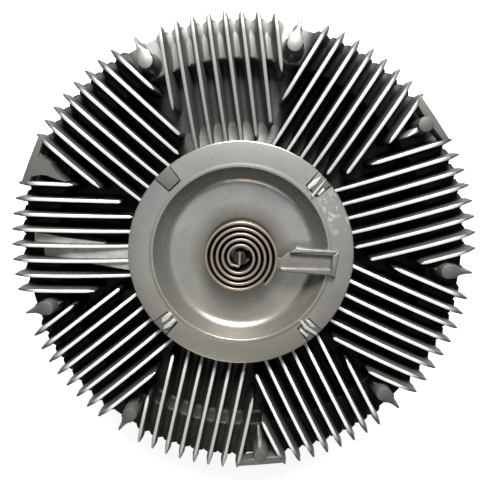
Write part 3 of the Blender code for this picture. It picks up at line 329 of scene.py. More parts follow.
def strip_metal():
    """Rolled bimetal strip: warm grey at its front edge, darkened to brown lower down by painted shade between
    the turns.
    """
    made, tree, shader = start_material("bimetal_strip_tarnished")
    where = add(tree, "ShaderNodeTexCoord").outputs["Object"]
    height = add(tree, "ShaderNodeSeparateXYZ", {"Vector": where}).outputs["Z"]
    patches = {"Vector": where, "Scale": 1000.0 / 4.0, "Detail": 4.0, "Roughness": 0.6}
    mottle = add(tree, "ShaderNodeTexNoise", patches).outputs["Fac"]
    colours = {0: mottle, 6: linear("3a3228"), 7: linear("574a3c")}
    low = add(tree, "ShaderNodeMix", colours, data_type="RGBA").outputs[2]
    colours = {0: mottle, 6: chosen_colour("strip_colour"), 7: linear("96897a")}
    high = add(tree, "ShaderNodeMix", colours, data_type="RGBA").outputs[2]
    # Painted shade: dark brown low on the strip's sides, between the turns
    tone = tint(tree, height, (97.0 * MM, 100.6 * MM), low, high)
    tree.links.new(tone, shader.inputs["Base Color"])
    shader.inputs["Metallic"].default_value = 0.8
    shader.inputs["Roughness"].default_value = 0.42
    grainy(tree, shader, where, 0.6, 0.02, 0.5)
    return made


def plain_metal(name, light, dark, roughness, metallic, patch_mm, grain_mm, depth_mm):
    """A metal with soft patches of two tones and a fine grain."""
    made, tree, shader = start_material(name)
    where = add(tree, "ShaderNodeTexCoord").outputs["Object"]
    patches = {"Vector": where, "Scale": 1000.0 / patch_mm, "Detail": 4.0, "Roughness": 0.6}
    mottle = add(tree, "ShaderNodeTexNoise", patches).outputs["Fac"]
    tone = tint(tree, mottle, (0.3, 0.7), linear(light), linear(dark))
    tree.links.new(tone, shader.inputs["Base Color"])
    patchy_gloss(tree, shader, mottle, roughness - 0.06, roughness + 0.08)
    shader.inputs["Metallic"].default_value = metallic
    grainy(tree, shader, where, grain_mm, depth_mm, 0.6)
    return made


def rubber():
    """Black rubber with a dry bloom."""
    made, tree, shader = start_material("black_rubber")
    where = add(tree, "ShaderNodeTexCoord").outputs["Object"]
    patches = {"Vector": where, "Scale": 1000.0 / 5.0, "Detail": 3.0, "Roughness": 0.5}
    bloom = add(tree, "ShaderNodeTexNoise", patches).outputs["Fac"]
    colours = {0: bloom, 6: linear("1c1c1c"), 7: linear("2b2a28")}
    tone = add(tree, "ShaderNodeMix", colours, data_type="RGBA").outputs[2]
    tree.links.new(tone, shader.inputs["Base Color"])
    shader.inputs["Roughness"].default_value = 0.75
    return made


# Geometry helpers


def place(name, shape, *materials):
    """Link a bmesh as an object at the origin, with its lengths turned from mm to metres."""
    bmesh.ops.recalc_face_normals(shape, faces=shape.faces)
    for vertex in shape.verts:
        vertex.co *= MM
    mesh = bpy.data.meshes.new(name)
    shape.to_mesh(mesh)
    shape.free()
    thing = bpy.data.objects.new(name, mesh)
    bpy.context.collection.objects.link(thing)
    for material in materials:
        mesh.materials.append(material)
    return thing


def smooth(thing, degrees):
    """Shade smooth, with the sharper edges kept."""
    thing.data.shade_smooth()
    thing.data.set_sharp_from_angle(angle=math.radians(degrees))


def bake(thing, modifier):
    """Keep what a modifier makes as the object's plain mesh."""
    view = bpy.context.evaluated_depsgraph_get()
    mesh = bpy.data.meshes.new_from_object(thing.evaluated_get(view))
    thing.modifiers.remove(modifier)
    thing.data = mesh


def cut(thing, tool):
    """Cut a tool out of an object and drop the tool."""
    step = thing.modifiers.new("cut", "BOOLEAN")
    step.operation = "DIFFERENCE"
    step.solver = "EXACT"
    step.object = tool
    bake(thing, step)
    bpy.data.objects.remove(tool)


def spin(shape, profile, steps, closed):
    """Turn a profile of (radius, height) points about the axis."""
    rings = []
    for radius, height in profile:
        if radius == 0:
            rings.append([shape.verts.new((0, 0, height))])
            continue
        circle = []
        for step in range(steps):
            angle = 2 * math.pi * step / steps
            circle.append(shape.verts.new((radius * math.cos(angle), radius * math.sin(angle), height)))
        rings.append(circle)
    pairs = list(zip(rings, rings[1:]))
    if closed:
        pairs.append((rings[-1], rings[0]))
    for low, high in pairs:
        for step in range(steps):
            after = (step + 1) % steps
            corners = [low[step % len(low)], low[after % len(low)]]
            corners += [high[after % len(high)], high[step % len(high)]]
            unique = []
            for corner in corners:
                if corner not in unique:
                    unique.append(corner)
            shape.faces.new(unique)


def rounded(points, radii, closed=True):
    """Round the corners of an outline; each corner has its own radius."""
    result = []
    count = len(points)
    for index, point in enumerate(points):
        radius = radii[index]
        here = Vector(point)
        if radius <= 0 or (not closed and index in (0, count - 1)):
            result.append(tuple(here))
            continue
        before = (Vector(points[index - 1]) - here).normalized()
        after = (Vector(points[(index + 1) % count]) - here).normalized()
        half = before.angle(after) / 2
        cut = radius / math.tan(half)
        centre = here + (before + after).normalized() * radius / math.sin(half)
        first = here + before * cut
        last = here + after * cut
        start = math.atan2(first.y - centre.y, first.x - centre.x)
        sweep = math.atan2(last.y - centre.y, last.x - centre.x) - start
        sweep = (sweep + math.pi) % (2 * math.pi) - math.pi
        for side in range(CORNER_SIDES + 1):
            angle = start + sweep * side / CORNER_SIDES
            result.append((centre.x + radius * math.cos(angle), centre.y + radius * math.sin(angle)))
    return result


def loft(shape, sections, index=0):
    """Join a row of closed sections with as many points each, and close both ends."""
    rows = [[shape.verts.new(point) for point in section] for section in sections]
    count = len(rows[0])
    for low, high in zip(rows, rows[1:]):
        for corner in range(count):
            after = (corner + 1) % count
            face = shape.faces.new((low[corner], low[after], high[after], high[corner]))
            face.material_index = index
    shape.faces.new(list(reversed(rows[0]))).material_index = index
    shape.faces.new(rows[-1]).material_index = index


def grown(outline, amount):
    """Move an outline's sides outward by an amount."""
    result = []
    count = len(outline)
    for index in range(count):
        before = Vector(outline[index - 1])
        here = Vector(outline[index])
        after = Vector(outline[(index + 1) % count])
        first = (here - before).normalized()
        second = (after - here).normalized()
        normal = Vector((first.y, -first.x)) + Vector((second.y, -second.x))
        normal.normalize()
        along = max(normal.dot(Vector((first.y, -first.x))), 0.3)
        result.append(tuple(here + normal * amount / along))
    return result


def slab(shape, outline, low, high, bevel, draft=0.0, index=0):
    """Extrude an anticlockwise outline upward with a rounded top edge."""
    sections = []
    for height, inset in (
        (low, -draft),
        (high - bevel, 0.0),
        (high - bevel * 0.4, bevel * 0.2),
        (high - bevel * 0.1, bevel * 0.6),
        (high, bevel * 1.1),
    ):
        sections.append([(x, y, height) for x, y in grown(outline, -inset)])
    loft(shape, sections, index)


def turn_points(points, angle):
    """Turn (x, y) points about the axis."""
    cosine = math.cos(angle)
    sine = math.sin(angle)
    return [(x * cosine - y * sine, x * sine + y * cosine) for x, y in points]


def disc(centre, radius, sides):
    """Return a circle's points."""
    points = []
    for side in range(sides):
        angle = 2 * math.pi * side / sides
        points.append((centre[0] + radius * math.cos(angle), centre[1] + radius * math.sin(angle)))
    return points


def reach(radius, offset):
    """Return how far out a line at a sideways offset meets a circle."""
    return math.sqrt(radius ** 2 - offset ** 2)


# Front casting


def floor_height(radius):
    """Return the floor's height under a fin: the inner floor, then the step, then the rim."""
    step = min(max((radius - FLOOR_STEP_START) / FLOOR_STEP_WIDTH, 0.0), 1.0)
    return FLOOR + (RIM - FLOOR) * step


def fin_height(radius):
    """Return the height of a fin's dished top, which also falls away at the tip."""
    dish = 0.0034 * (TIP_RADIUS - radius) ** 2
    fall = max(1 - (TIP_RADIUS - radius) / 9.0, 0.0)
    return TIP - dish - 2.6 * fall ** 1.6


def fin_stops(start, end, offset, nose):
    """Return the places along a fin where its section is set."""
    stops = [start + nose * share for share in (0.0, 0.12, 0.3, 0.6, 1.0)]
    step = reach(105.0, offset)
    middle = [reach(radius, offset) for radius in (70.0, 78.0, 86.0, 94.0, 100.0)]
    middle += [step - 1.2, step - 0.4, step, step + 0.4, step + 1.2]
    stops += [stop for stop in middle if stop > stops[-1] + 1.0]
    for back in (12.0, 9.5, 7.8, 6.4, 5.2, 4.2, 3.2, 2.4, 1.6, 0.9, 0.4, 0.0):
        stops.append(end - back)
    return stops


def fin_sections(offset, start_radius, nose, land, root, fillet):
    """Return a fin's sections from its inner end to its tip, along +X."""
    end = reach(TIP_RADIUS, offset)
    start = reach(start_radius, offset)
    sections = []
    for stop in fin_stops(start, end, offset, nose):
        inner = min((stop - start) / nose, 1.0)
        inner = math.sqrt(max(inner * (2 - inner), 0.0))
        back = end - stop
        blunt = math.sqrt(min(back / 0.9, 1.0))
        outer = min(back / 8.0, 1.0)
        top_share = max(inner, 0.06) * (0.7 + 0.3 * outer ** 1.2) * max(blunt, 0.4)
        foot_share = max(inner, 0.25) * (0.7 + 0.3 * min(back / 5.0, 1.0)) * max(blunt, 0.5)
        radius = math.hypot(stop, offset)
        top = fin_height(radius)
        base = floor_height(radius)
        flare = fillet * (1 + 2.4 * max(1 - abs(back - 3.0) / 6.5, 0.0))
        rows = [
            (base - 1.0, flare),
            (base, flare),
            (base + fillet * 0.3, flare * 0.45),
            (base + fillet, 0.0),
            (base + (top - base) * 0.6, (flare - fillet) * 0.3),
            (top - 0.5, 0.0),
            (top - 0.12, -0.16),
            (top, -0.42),
        ]
        lean = 1.1 * max(1 - back / 6.0, 0.0)
        right = []
        for height, extra in rows:
            depth = (top - height) / (TIP - FLOOR)
            share = top_share + (foot_share - top_share) * min(max(depth, 0.0), 1.0)
            half = (land + (root - land) * depth) / 2 * share + extra * max(share, 0.4)
            right.append((stop - lean * depth, offset - max(half, 0.05), height))
        left = [(x, 2 * offset - y, z) for x, y, z in reversed(right)]
        sections.append(right + left)
    return sections


# For each fin of a pack: the radius where it starts, and the length of its nose
FIN_STARTS = (
    (98.5, 5.0),
    (73.0, 1.4),
    (64.8, 1.4),
    (58.5, 0.6),
    (58.5, 0.6),
    (58.5, 0.6),
    (60.0, 0.8),
    (85.5, 5.0),
)
RADIAL_FIN = 4


def pack_mesh():
    """Return one pack of eight parallel fins along +X."""
    chosen = settings()
    pitch = chosen.fin_pitch / MM
    land = chosen.fin_land / MM
    root = chosen.fin_root / MM
    fillet = chosen.fin_fillet / MM
    shape = bmesh.new()
    for index, (start, nose) in enumerate(FIN_STARTS):
        offset = (index - RADIAL_FIN) * pitch
        loft(shape, fin_sections(offset, start, nose, land, root, fillet))
    return shape


def repeat_tree():
    """Return a node tree that turns copies of its geometry about the axis."""
    tree = bpy.data.node_groups.new("repeat_about_axis", "GeometryNodeTree")
    tree.interface.new_socket("Geometry", in_out="INPUT", socket_type="NodeSocketGeometry")
    count = tree.interface.new_socket("Count", in_out="INPUT", socket_type="NodeSocketInt")
    turn = tree.interface.new_socket("First turn", in_out="INPUT", socket_type="NodeSocketFloat")
    cover = tree.interface.new_socket("Material", in_out="INPUT", socket_type="NodeSocketMaterial")
    tree.interface.new_socket("Geometry", in_out="OUTPUT", socket_type="NodeSocketGeometry")
    source = tree.nodes.new("NodeGroupInput")
    points = add(tree, "GeometryNodePoints", {"Count": source.outputs["Count"]})
    index = tree.nodes.new("GeometryNodeInputIndex")
    full = add(tree, "ShaderNodeMath", {0: 2 * math.pi, 1: source.outputs["Count"]}, operation="DIVIDE")
    angle = add(tree, "ShaderNodeMath", {0: index.outputs[0], 1: full.outputs[0]}, operation="MULTIPLY")
    first = source.outputs["First turn"]
    total = add(tree, "ShaderNodeMath", {0: angle.outputs[0], 1: first}, operation="ADD")
    euler = add(tree, "ShaderNodeCombineXYZ", {"Z": total.outputs[0]})
    rotation = add(tree, "FunctionNodeEulerToRotation", {"Euler": euler.outputs[0]})
    placed = add(
        tree,
        "GeometryNodeInstanceOnPoints",
        {
            "Points": points.outputs[0],
            "Instance": source.outputs["Geometry"],
            "Rotation": rotation.outputs[0],
        },
    )
    real = add(tree, "GeometryNodeRealizeInstances", {"Geometry": placed.outputs[0]})
    values = {"Geometry": real.outputs[0], "Material": source.outputs["Material"]}
    dressed = add(tree, "GeometryNodeSetMaterial", values)
    sink = tree.nodes.new("NodeGroupOutput")
    tree.links.new(dressed.outputs[0], sink.inputs[0])
    return tree, count.identifier, turn.identifier, cover.identifier


def grow_copies(thing, count, turn, material):
    """Repeat an object's mesh about the axis and keep the result as a plain mesh."""
    tree, count_key, turn_key, cover_key = repeat_tree()
    step = thing.modifiers.new("repeat", "NODES")
    step.node_group = tree
    step[count_key] = count
    step[turn_key] = turn
    step[cover_key] = material
    thing.update_tag()
    bake(thing, step)
    bpy.data.node_groups.remove(tree)


def join_into(target, other):
    """Merge another object's mesh into the target, with its materials."""
    slots = []
    for material in other.data.materials:
        if material.name not in [known.name for known in target.data.materials]:
            target.data.materials.append(material)
        slots.append([known.name for known in target.data.materials].index(material.name))
    for face in other.data.polygons:
        face.material_index = slots[face.material_index]
    shape = bmesh.new()
    shape.from_mesh(target.data)
    shape.from_mesh(other.data)
    bpy.data.objects.remove(other)
    shape.to_mesh(target.data)
    shape.free()


def gap_angle(index):
    """Return the angle of the gap that follows a pack."""
    return PACK_TURN + GAP_TURN + index * 2 * math.pi / PACKS


def casting_base(shape):
    """Add the turned body of the casting."""
    points = [
        (RIM_RADIUS, SPLIT),
        (RIM_RADIUS, RIM),
        (105.8, RIM),
        (104.6, FLOOR),
        (74.0, FLOOR),
        (HUB_RADIUS, FLOOR + 4.0),
        (HUB_RADIUS, HUB_TOP),
        (50.3, HUB_TOP),
        (50.3, 80.2),
        (36.0, 80.2),
        (36.0, 63.7),
        (46.3, 63.7),
        (46.3, COVER_REAR),
        (SPIGOT_RADIUS, COVER_REAR),
        (SPIGOT_RADIUS, SPLIT),
    ]
    radii = [0.6, 0.8, 1.6, 2.6, 6.0, 3.0, 0.4, 0.4, 0, 0, 0, 0, 0, 0.5, 0]
    spin(shape, rounded(points, radii), 216, True)


def round_post(shape, angle, circle, top, radius):
    """Add a round post with a filleted foot and a broken top edge."""
    rows = [
        (RIM - 1.0, radius + 2.4),
        (RIM, radius + 2.3),
        (RIM + 0.7, radius + 1.6),
        (RIM + 1.8, radius + 1.1),
        (top - 0.6, radius),
        (top - 0.2, radius - 0.18),
        (top, radius - 0.6),
    ]
    sections = []
    for height, size in rows:
        outline = turn_points(disc((circle, 0), size, 40), angle)
        sections.append([(x, y, height) for x, y in outline])
    loft(shape, sections)


def nub(shape, angle):
    """Add the pointed horn outside a plain post, and the small rib inside it."""
    sections = []
    for along, half, top, lean in (
        (114.0, 3.9, TIP - 1.0, 0.0),
        (117.4, 3.6, TIP - 1.3, 0.0),
        (118.6, 2.5, TIP - 1.5, 0.2),
        (120.2, 1.7, TIP - 1.9, 0.4),
        (122.2, 1.2, TIP - 2.4, 0.6),
        (124.4, 0.9, TIP - 2.9, 0.9),
        (126.2, 0.75, TIP - 3.1, 1.2),
        (126.9, 0.35, TIP - 3.2, 1.3),
    ):
        foot = half + 1.6
        sections.append([
            (along - lean, -foot, RIM - 1),
            (along - lean, -foot, RIM + 0.2),
            (along - lean * 0.7, -half - 0.5, RIM + 2.0),
            (along, -half, top - 0.5),
            (along, -half * 0.6, top),
            (along, half * 0.6, top),
            (along, half, top - 0.5),
            (along - lean * 0.7, half + 0.5, RIM + 2.0),
            (along - lean, foot, RIM + 0.2),
            (along - lean, foot, RIM - 1),
        ])
    loft(shape, [turned_section(section, angle) for section in sections])
    outline = [(108.6, -1.2), (113.0, -1.6), (113.0, 1.6), (108.6, 1.2), (106.8, 0.0)]
    slab(shape, turn_points(outline, angle), RIM - 1, TIP - 6.0, 0.4, 0.6)


def turned_section(section, angle):
    """Turn a section's points about the axis."""
    turned = turn_points([(x, y) for x, y, _ in section], angle)
    return [(x, y, point[2]) for (x, y), point in zip(turned, section)]


def post(shape, index):
    """Add a round post with its horn, or a post with its web."""
    angle = gap_angle(index)
    if index % 3 == 0:
        joined = index == 3
        top = WEB_TOP - 0.05 if joined else WEB_TOP + 0.35
        round_post(shape, angle, WEB_CIRCLE, top, 4.0)
        web(shape, angle, joined)
        return
    round_post(shape, angle, POST_CIRCLE, TIP - 0.8, 4.1)
    nub(shape, angle)


def web(shape, angle, joined):
    """Add the straight bar between the outer fins of two packs, and its inward rib."""
    outline = [(121.2, -12.8), (124.3, -14.0), (124.5, 0.0), (124.3, 14.0), (120.4, 12.8)]
    outline += [(119.9, 6.5), (120.0, 0.0), (120.6, -6.5)]
    slab(shape, turn_points(outline, angle), WEB_TOP - 6.4, WEB_TOP, 0.45)
    if joined:
        star = [(119.8, -5.6), (117.0, -4.0), (113.6, -3.6), (112.4, -2.2), (108.0, 0.4), (102.5, 2.2)]
        star += [(108.0, 2.9), (113.2, 3.2), (116.0, 4.2), (119.6, 6.6)]
        slab(shape, turn_points(star, angle), RIM - 1, WEB_TOP - 0.02, 0.4)
        return
    # The rib takes the paler metal as a painted highlight
    outline = [(111.0, -0.9), (115.5, -1.3), (115.5, 1.3), (111.0, 0.9), (107.6, 0.2), (107.6, -0.2)]
    slab(shape, turn_points(outline, angle), RIM - 1, TIP - 3.0, 0.4, 0.6, index=1)


# The slivers that stand up from each beaten lug: an outline along +X, and its rise over the plate
BEATEN = {
    0: (
        ([(48.8, -2.9), (57.6, -1.6), (61.4, -0.2), (57.4, -0.5), (50.0, -1.2)], 1.6),
        ([(50.6, 1.4), (56.0, 0.8), (60.4, 2.4), (56.0, 3.6), (51.0, 3.4)], 1.2),
        ([(52.4, -4.6), (57.0, -4.4), (56.8, -3.0), (52.6, -3.2)], 1.0),
    ),
    2: (
        ([(49.6, -3.2), (55.4, -3.6), (58.0, -1.4), (54.0, -0.6), (50.2, -0.9)], 1.3),
        ([(50.4, 1.0), (57.8, 0.4), (59.4, 1.8), (55.0, 3.4), (50.8, 3.0)], 1.6),
    ),
    3: (
        ([(49.2, -0.6), (53.6, -1.4), (60.8, 0.8), (60.0, 2.0), (53.0, 0.6), (49.4, 0.8)], 1.7),
        ([(50.8, 2.2), (55.6, 1.8), (57.4, 3.8), (51.2, 3.6)], 1.1),
        ([(52.6, -4.4), (58.4, -3.8), (58.0, -2.2), (52.0, -2.8)], 1.2),
    ),
}


def lug(shape, index):
    """Add one staking lug; all but one are beaten inward and left rough."""
    angle = LUG_TURN + index * math.pi / 2
    outline = [(51.4, -3.9), (61.0, -4.9), (61.0, 4.9), (51.4, 3.9)]
    if index == 1:
        slab(shape, turn_points(outline, angle), HUB_TOP - 0.9, PLATE_TOP + 1.2, 0.35)
        return
    slab(shape, turn_points(outline, angle), HUB_TOP - 0.9, PLATE_TOP + 0.5, 0.7)
    for sliver, rise in BEATEN[index]:
        slab(shape, turn_points(sliver, angle), PLATE_TOP + 0.05, PLATE_TOP + rise, 0.5, index=1)


def filled_gap(shape):
    """Add the metal left between fins of the left pack, where the casting was fed."""
    angle = PACK_TURN + 4 * 2 * math.pi / PACKS
    # Each wedge is a row of (along, low side, high side, drop below the fins' tops)
    for wedge in (
        ((60.0, 0.0, 8.5, 0.9), (75.0, 0.0, 8.5, 2.2), (95.0, 0.0, 8.5, 4.0), (112.0, 0.0, 8.5, 8.5)),
        ((78.0, -1.4, 0.0, 2.6), (100.0, -4.6, 0.0, 3.6), (116.0, -7.0, 0.0, 6.0)),
        ((60.0, 8.5, 15.4, 1.0), (72.0, 8.5, 12.8, 2.0), (86.0, 8.5, 10.2, 3.0)),
    ):
        sections = []
        for along, low, high, drop in wedge:
            top = fin_height(along) - drop
            section = [(along, low, FLOOR - 1), (along, high, FLOOR - 1)]
            section += [(along, high, top - 0.6), (along, low, top)]
            sections.append(turned_section(section, angle))
        loft(shape, sections, 1)


def mark_lands(thing, slot):
    """Give the flat tops of the fins their own slot."""
    for face in thing.data.polygons:
        radius = face.center.xy.length / MM
        top = fin_height(min(radius, TIP_RADIUS))
        if face.normal.z > 0.85 and face.center.z / MM > top - 0.25 and radius > HUB_RADIUS + 0.5:
            face.material_index = slot


def front_casting(body_cover, fill_cover, land_cover):
    """Return the whole finned casting."""
    pack = place("pack", pack_mesh(), body_cover)
    grow_copies(pack, PACKS, PACK_TURN, body_cover)
    pack.data.materials.append(land_cover)
    mark_lands(pack, 1)
    shape = bmesh.new()
    casting_base(shape)
    for index in range(PACKS):
        post(shape, index)
    for index in range(LUGS):
        lug(shape, index)
    filled_gap(shape)
    casting = place("front_casting", shape, body_cover, fill_cover, land_cover)
    join_into(casting, pack)
    smooth(casting, 38)
    return casting


# Plate, bracket and strip


def dished_plate(cover):
    """Return the dished plate, notched round the lugs."""
    top = PLATE_TOP
    dish = top - DISH_DEPTH
    points = [
        (3.9, top - 6.5),
        (8.0, top - 6.5),
        (8.0, dish),
        (41.0, dish),
        (47.5, top + 0.1),
        (48.4, top + 0.2),
        (49.8, top),
        (PLATE_RADIUS, top),
        (PLATE_RADIUS, top - PLATE_THICK),
        (48.9, top - PLATE_THICK),
        (40.9, dish - PLATE_THICK),
        (8.0, dish - PLATE_THICK),
        (8.0, top - 14.0),
        (3.9, top - 14.0),
    ]
    radii = [0.2, 0.5, 0.8, 6.5, 0.4, 0.4, 1.0, 0.7, 0.3, 0.5, 0.5, 0, 0, 0]
    shape = bmesh.new()
    spin(shape, rounded(points, radii), 192, True)
    plate = place("dished_plate", shape, cover)
    for index in range(LUGS):
        shape = bmesh.new()
        outline = rounded([(50.9, -4.4), (64.0, -5.6), (64.0, 5.6), (50.9, 4.4)], [0.6, 0, 0, 0.6])
        outline = turn_points(outline, LUG_TURN + index * math.pi / 2)
        loft(shape, [[(x, y, z) for x, y in outline] for z in (top - 4, top + 2)])
        cut(plate, place("notch", shape))
    smooth(plate, 25)
    return plate


def strip_paths():
    """Return the strip's middle line in two parts: the tab with a quarter turn, and the spiral."""
    tab = [(0.0, 3.2), (0.0, 0.0), (0.0, -3.0), (-0.15, -3.9), (-0.5, -4.7)]
    spiral = []
    inner = 5.3
    pitch = 2.95
    turns = 4.875
    steps = 468
    tab_joins = 13
    tab_ends = 24
    for index in range(tab_joins, steps + 1):
        along = turns * index / steps
        angle = math.radians(-90) - along * 2 * math.pi
        radius = inner + pitch * along
        point = (radius * math.cos(angle), radius * math.sin(angle))
        if index <= tab_ends:
            tab.append(point)
        if index >= tab_ends:
            spiral.append(point)
    return tab, spiral


def strip_tree():
    """Return a node tree that lays a flat strip along a path."""
    tree = bpy.data.node_groups.new("strip_along_path", "GeometryNodeTree")
    tree.interface.new_socket("Geometry", in_out="INPUT", socket_type="NodeSocketGeometry")
    thick = tree.interface.new_socket("Thickness", in_out="INPUT", socket_type="NodeSocketFloat")
    tall = tree.interface.new_socket("Height", in_out="INPUT", socket_type="NodeSocketFloat")
    edge = tree.interface.new_socket("Edge radius", in_out="INPUT", socket_type="NodeSocketFloat")
    cover = tree.interface.new_socket("Material", in_out="INPUT", socket_type="NodeSocketMaterial")
    tree.interface.new_socket("Geometry", in_out="OUTPUT", socket_type="NodeSocketGeometry")
    source = tree.nodes.new("NodeGroupInput")
    line = add(tree, "GeometryNodeMeshToCurve", {"Mesh": source.outputs["Geometry"]})
    section = add(
        tree,
        "GeometryNodeCurvePrimitiveQuadrilateral",
        {"Width": source.outputs["Thickness"], "Height": source.outputs["Height"]},
    )
    soft = add(
        tree,
        "GeometryNodeFilletCurve",
        {"Curve": section.outputs[0], "Radius": source.outputs["Edge radius"], "Count": 3},
        mode="POLY",
    )
    swept = add(
        tree,
        "GeometryNodeCurveToMesh",
        {"Curve": line.outputs[0], "Profile Curve": soft.outputs[0], "Fill Caps": True},
    )
    real = add(tree, "GeometryNodeRealizeInstances", {"Geometry": swept.outputs[0]})
    values = {"Geometry": real.outputs[0], "Material": source.outputs["Material"]}
    dressed = add(tree, "GeometryNodeSetMaterial", values)
    sink = tree.nodes.new("NodeGroupOutput")
    tree.links.new(dressed.outputs[0], sink.inputs[0])
    return tree, thick.identifier, tall.identifier, edge.identifier, cover.identifier


def laid_strip(name, path, cover):
    """Return a strip on edge along a path."""
    points = [Vector((x, y, (STRIP_LOW + STRIP_HIGH) / 2)) * MM for x, y in path]
    mesh = bpy.data.meshes.new(name)
    mesh.from_pydata(points, [(index, index + 1) for index in range(len(points) - 1)], [])
    strip = bpy.data.objects.new(name, mesh)
    bpy.context.collection.objects.link(strip)
    tree, thick, tall, edge, cover_key = strip_tree()
    step = strip.modifiers.new("strip", "NODES")
    step.node_group = tree
    step[thick] = settings().strip_thick
    step[tall] = (STRIP_HIGH - STRIP_LOW) * MM
    step[edge] = 0.35 * MM
    step[cover_key] = cover
    strip.update_tag()
    bake(strip, step)
    bpy.data.node_groups.remove(tree)
    smooth(strip, 40)
    return strip


def strip_bracket(cover):
    """Return the ribbed arm that holds the strip's outer end."""
    low = PLATE_TOP + 0.3
    sheet = low + 1.6
    high = sheet + 2.2
    shape = bmesh.new()
    base = [(21.2, -7.2), (49.0, -8.3), (49.6, -10.4), (51.6, -10.4)]
    base += [(53.0, 5.4), (29.8, 6.5), (21.2, -0.6)]
    slab(shape, rounded(base, [0.6, 0, 0.5, 1.0, 1.2, 1.6, 1.0]), low, sheet, 0.3)
    upper = [(26.9, 2.9), (48.9, 2.5), (52.6, 5.4), (29.8, 6.4), (26.6, 3.7)]
    slab(shape, rounded(upper, [0.3, 0, 0.8, 1.4, 0.3]), sheet - 0.5, high, 0.8, 0.3)
    lower = [(21.4, -7.1), (49.2, -8.2), (48.8, -4.4), (21.4, -4.6)]
    slab(shape, rounded(lower, [0.8, 0, 0, 0.5]), sheet - 0.5, high - 0.3, 0.8, 0.3)
    cross = [(48.6, -8.6), (51.4, -8.8), (52.8, 5.2), (48.8, 3.0)]
    slab(shape, rounded(cross, [0.6, 0.6, 0.8, 0.3]), sheet - 0.5, high - 0.5, 0.7, 0.3)
    tab = [(19.9, -3.6), (21.2, -7.2), (22.8, -7.2), (22.8, -0.6), (19.9, -0.6)]
    loft(shape, [[(x, y, z) for x, y in tab] for z in (low - 3.4, sheet - 0.2)])
    bracket = place("strip_bracket", shape, cover)
    smooth(bracket, 35)
    return bracket


def slotted_shaft(cover):
    """Return the valve shaft with its slotted head."""
    shape = bmesh.new()
    points = [(0, 62.2), (3.5, 62.2), (3.5, 99.7), (0, 99.7)]
    spin(shape, rounded(points, [0, 0, 0.5, 0], closed=False), 48, False)
    shaft = place("slotted_shaft", shape, cover)
    shape = bmesh.new()
    slot = [(-1.0, -6.0), (1.0, -6.0), (1.0, 6.0), (-1.0, 6.0)]
    loft(shape, [[(x, y, z) for x, y in slot] for z in (88.4, 102.0)])
    cut(shaft, place("slot", shape))
    smooth(shaft, 30)
    return shaft


def bearing_race(name, lip, back, side, cover):
    """Return one turned race with its ball groove; side is 1 for the outer race and -1 for the inner."""
    circle = 28.75
    groove = 7.15
    middle = 32.2
    front = 42.7
    rear = 21.7
    arcs = 12
    half_angle = math.acos(abs(lip - circle) / groove)
    points = []
    for index in range(arcs + 1):
        angle = -half_angle + 2 * half_angle * index / arcs
        points.append((circle + side * groove * math.cos(angle), middle + groove * math.sin(angle)))
    points += [(lip, front), (back, front), (back, rear), (lip, rear)]
    shape = bmesh.new()
    spin(shape, points, 96, True)
    race = place(name, shape, cover)
    smooth(race, 25)
    return race


# Stage


def add_light(name, place_at, power):
    """Add a square area light aimed at the part."""
    target = (0.0, 0.0, 0.08)
    data = bpy.data.lights.new(name, "AREA")
    data.shape = "SQUARE"
    data.size = 0.5
    data.energy = power
    lamp = bpy.data.objects.new(name, data)
    bpy.context.collection.objects.link(lamp)
    lamp.location = place_at
    lamp.rotation_euler = (Vector(target) - Vector(place_at)).to_track_quat("-Z", "Y").to_euler()


def add_camera():
    """Place the camera as the photograph has it."""
    data = bpy.data.cameras.new("camera")
    data.sensor_width = 36.0
    data.lens = 33.11
    data.clip_start = 0.01
    data.clip_end = 20.0
    camera = bpy.data.objects.new("camera", data)
    bpy.context.collection.objects.link(camera)
    right = Vector((0.9988, 0.0396, -0.0296)).normalized()
    back = Vector((0.0238, 0.1387, 0.9900)).normalized()
    up = back.cross(right).normalized()
    right = up.cross(back)
    turn = Matrix((right, up, back)).transposed().to_4x4()
    camera.matrix_world = Matrix.Translation(Vector((5.3, 41.6, TIP - 0.5 + 236.5)) * MM) @ turn
    bpy.context.scene.camera = camera


def build_world():
    """Light softly from all round, and show white behind the part."""
    world = bpy.data.worlds.new("studio")
    world.use_nodes = True
    tree = world.node_tree
    tree.nodes.clear()
    path = add(tree, "ShaderNodeLightPath")
    way = add(tree, "ShaderNodeTexCoord").outputs["Generated"]
    rise = add(tree, "ShaderNodeSeparateXYZ", {"Vector": way}).outputs["Z"]
    values = {"Value": rise, "From Min": 0.80, "From Max": 0.97, "To Min": 0.03, "To Max": 0.50}
    strength = add(tree, "ShaderNodeMapRange", values).outputs["Result"]
    soft = add(tree, "ShaderNodeBackground", {"Color": (0.97, 0.98, 1.0, 1.0), "Strength": strength})
    white = add(tree, "ShaderNodeBackground", {"Color": (1, 1, 1, 1), "Strength": 1.0})
    seen = path.outputs["Is Camera Ray"]
    both = add(tree, "ShaderNodeMixShader", {0: seen, 1: soft.outputs[0], 2: white.outputs[0]})
    sink = add(tree, "ShaderNodeOutputWorld")
    tree.links.new(both.outputs[0], sink.inputs["Surface"])
    bpy.context.scene.world = world


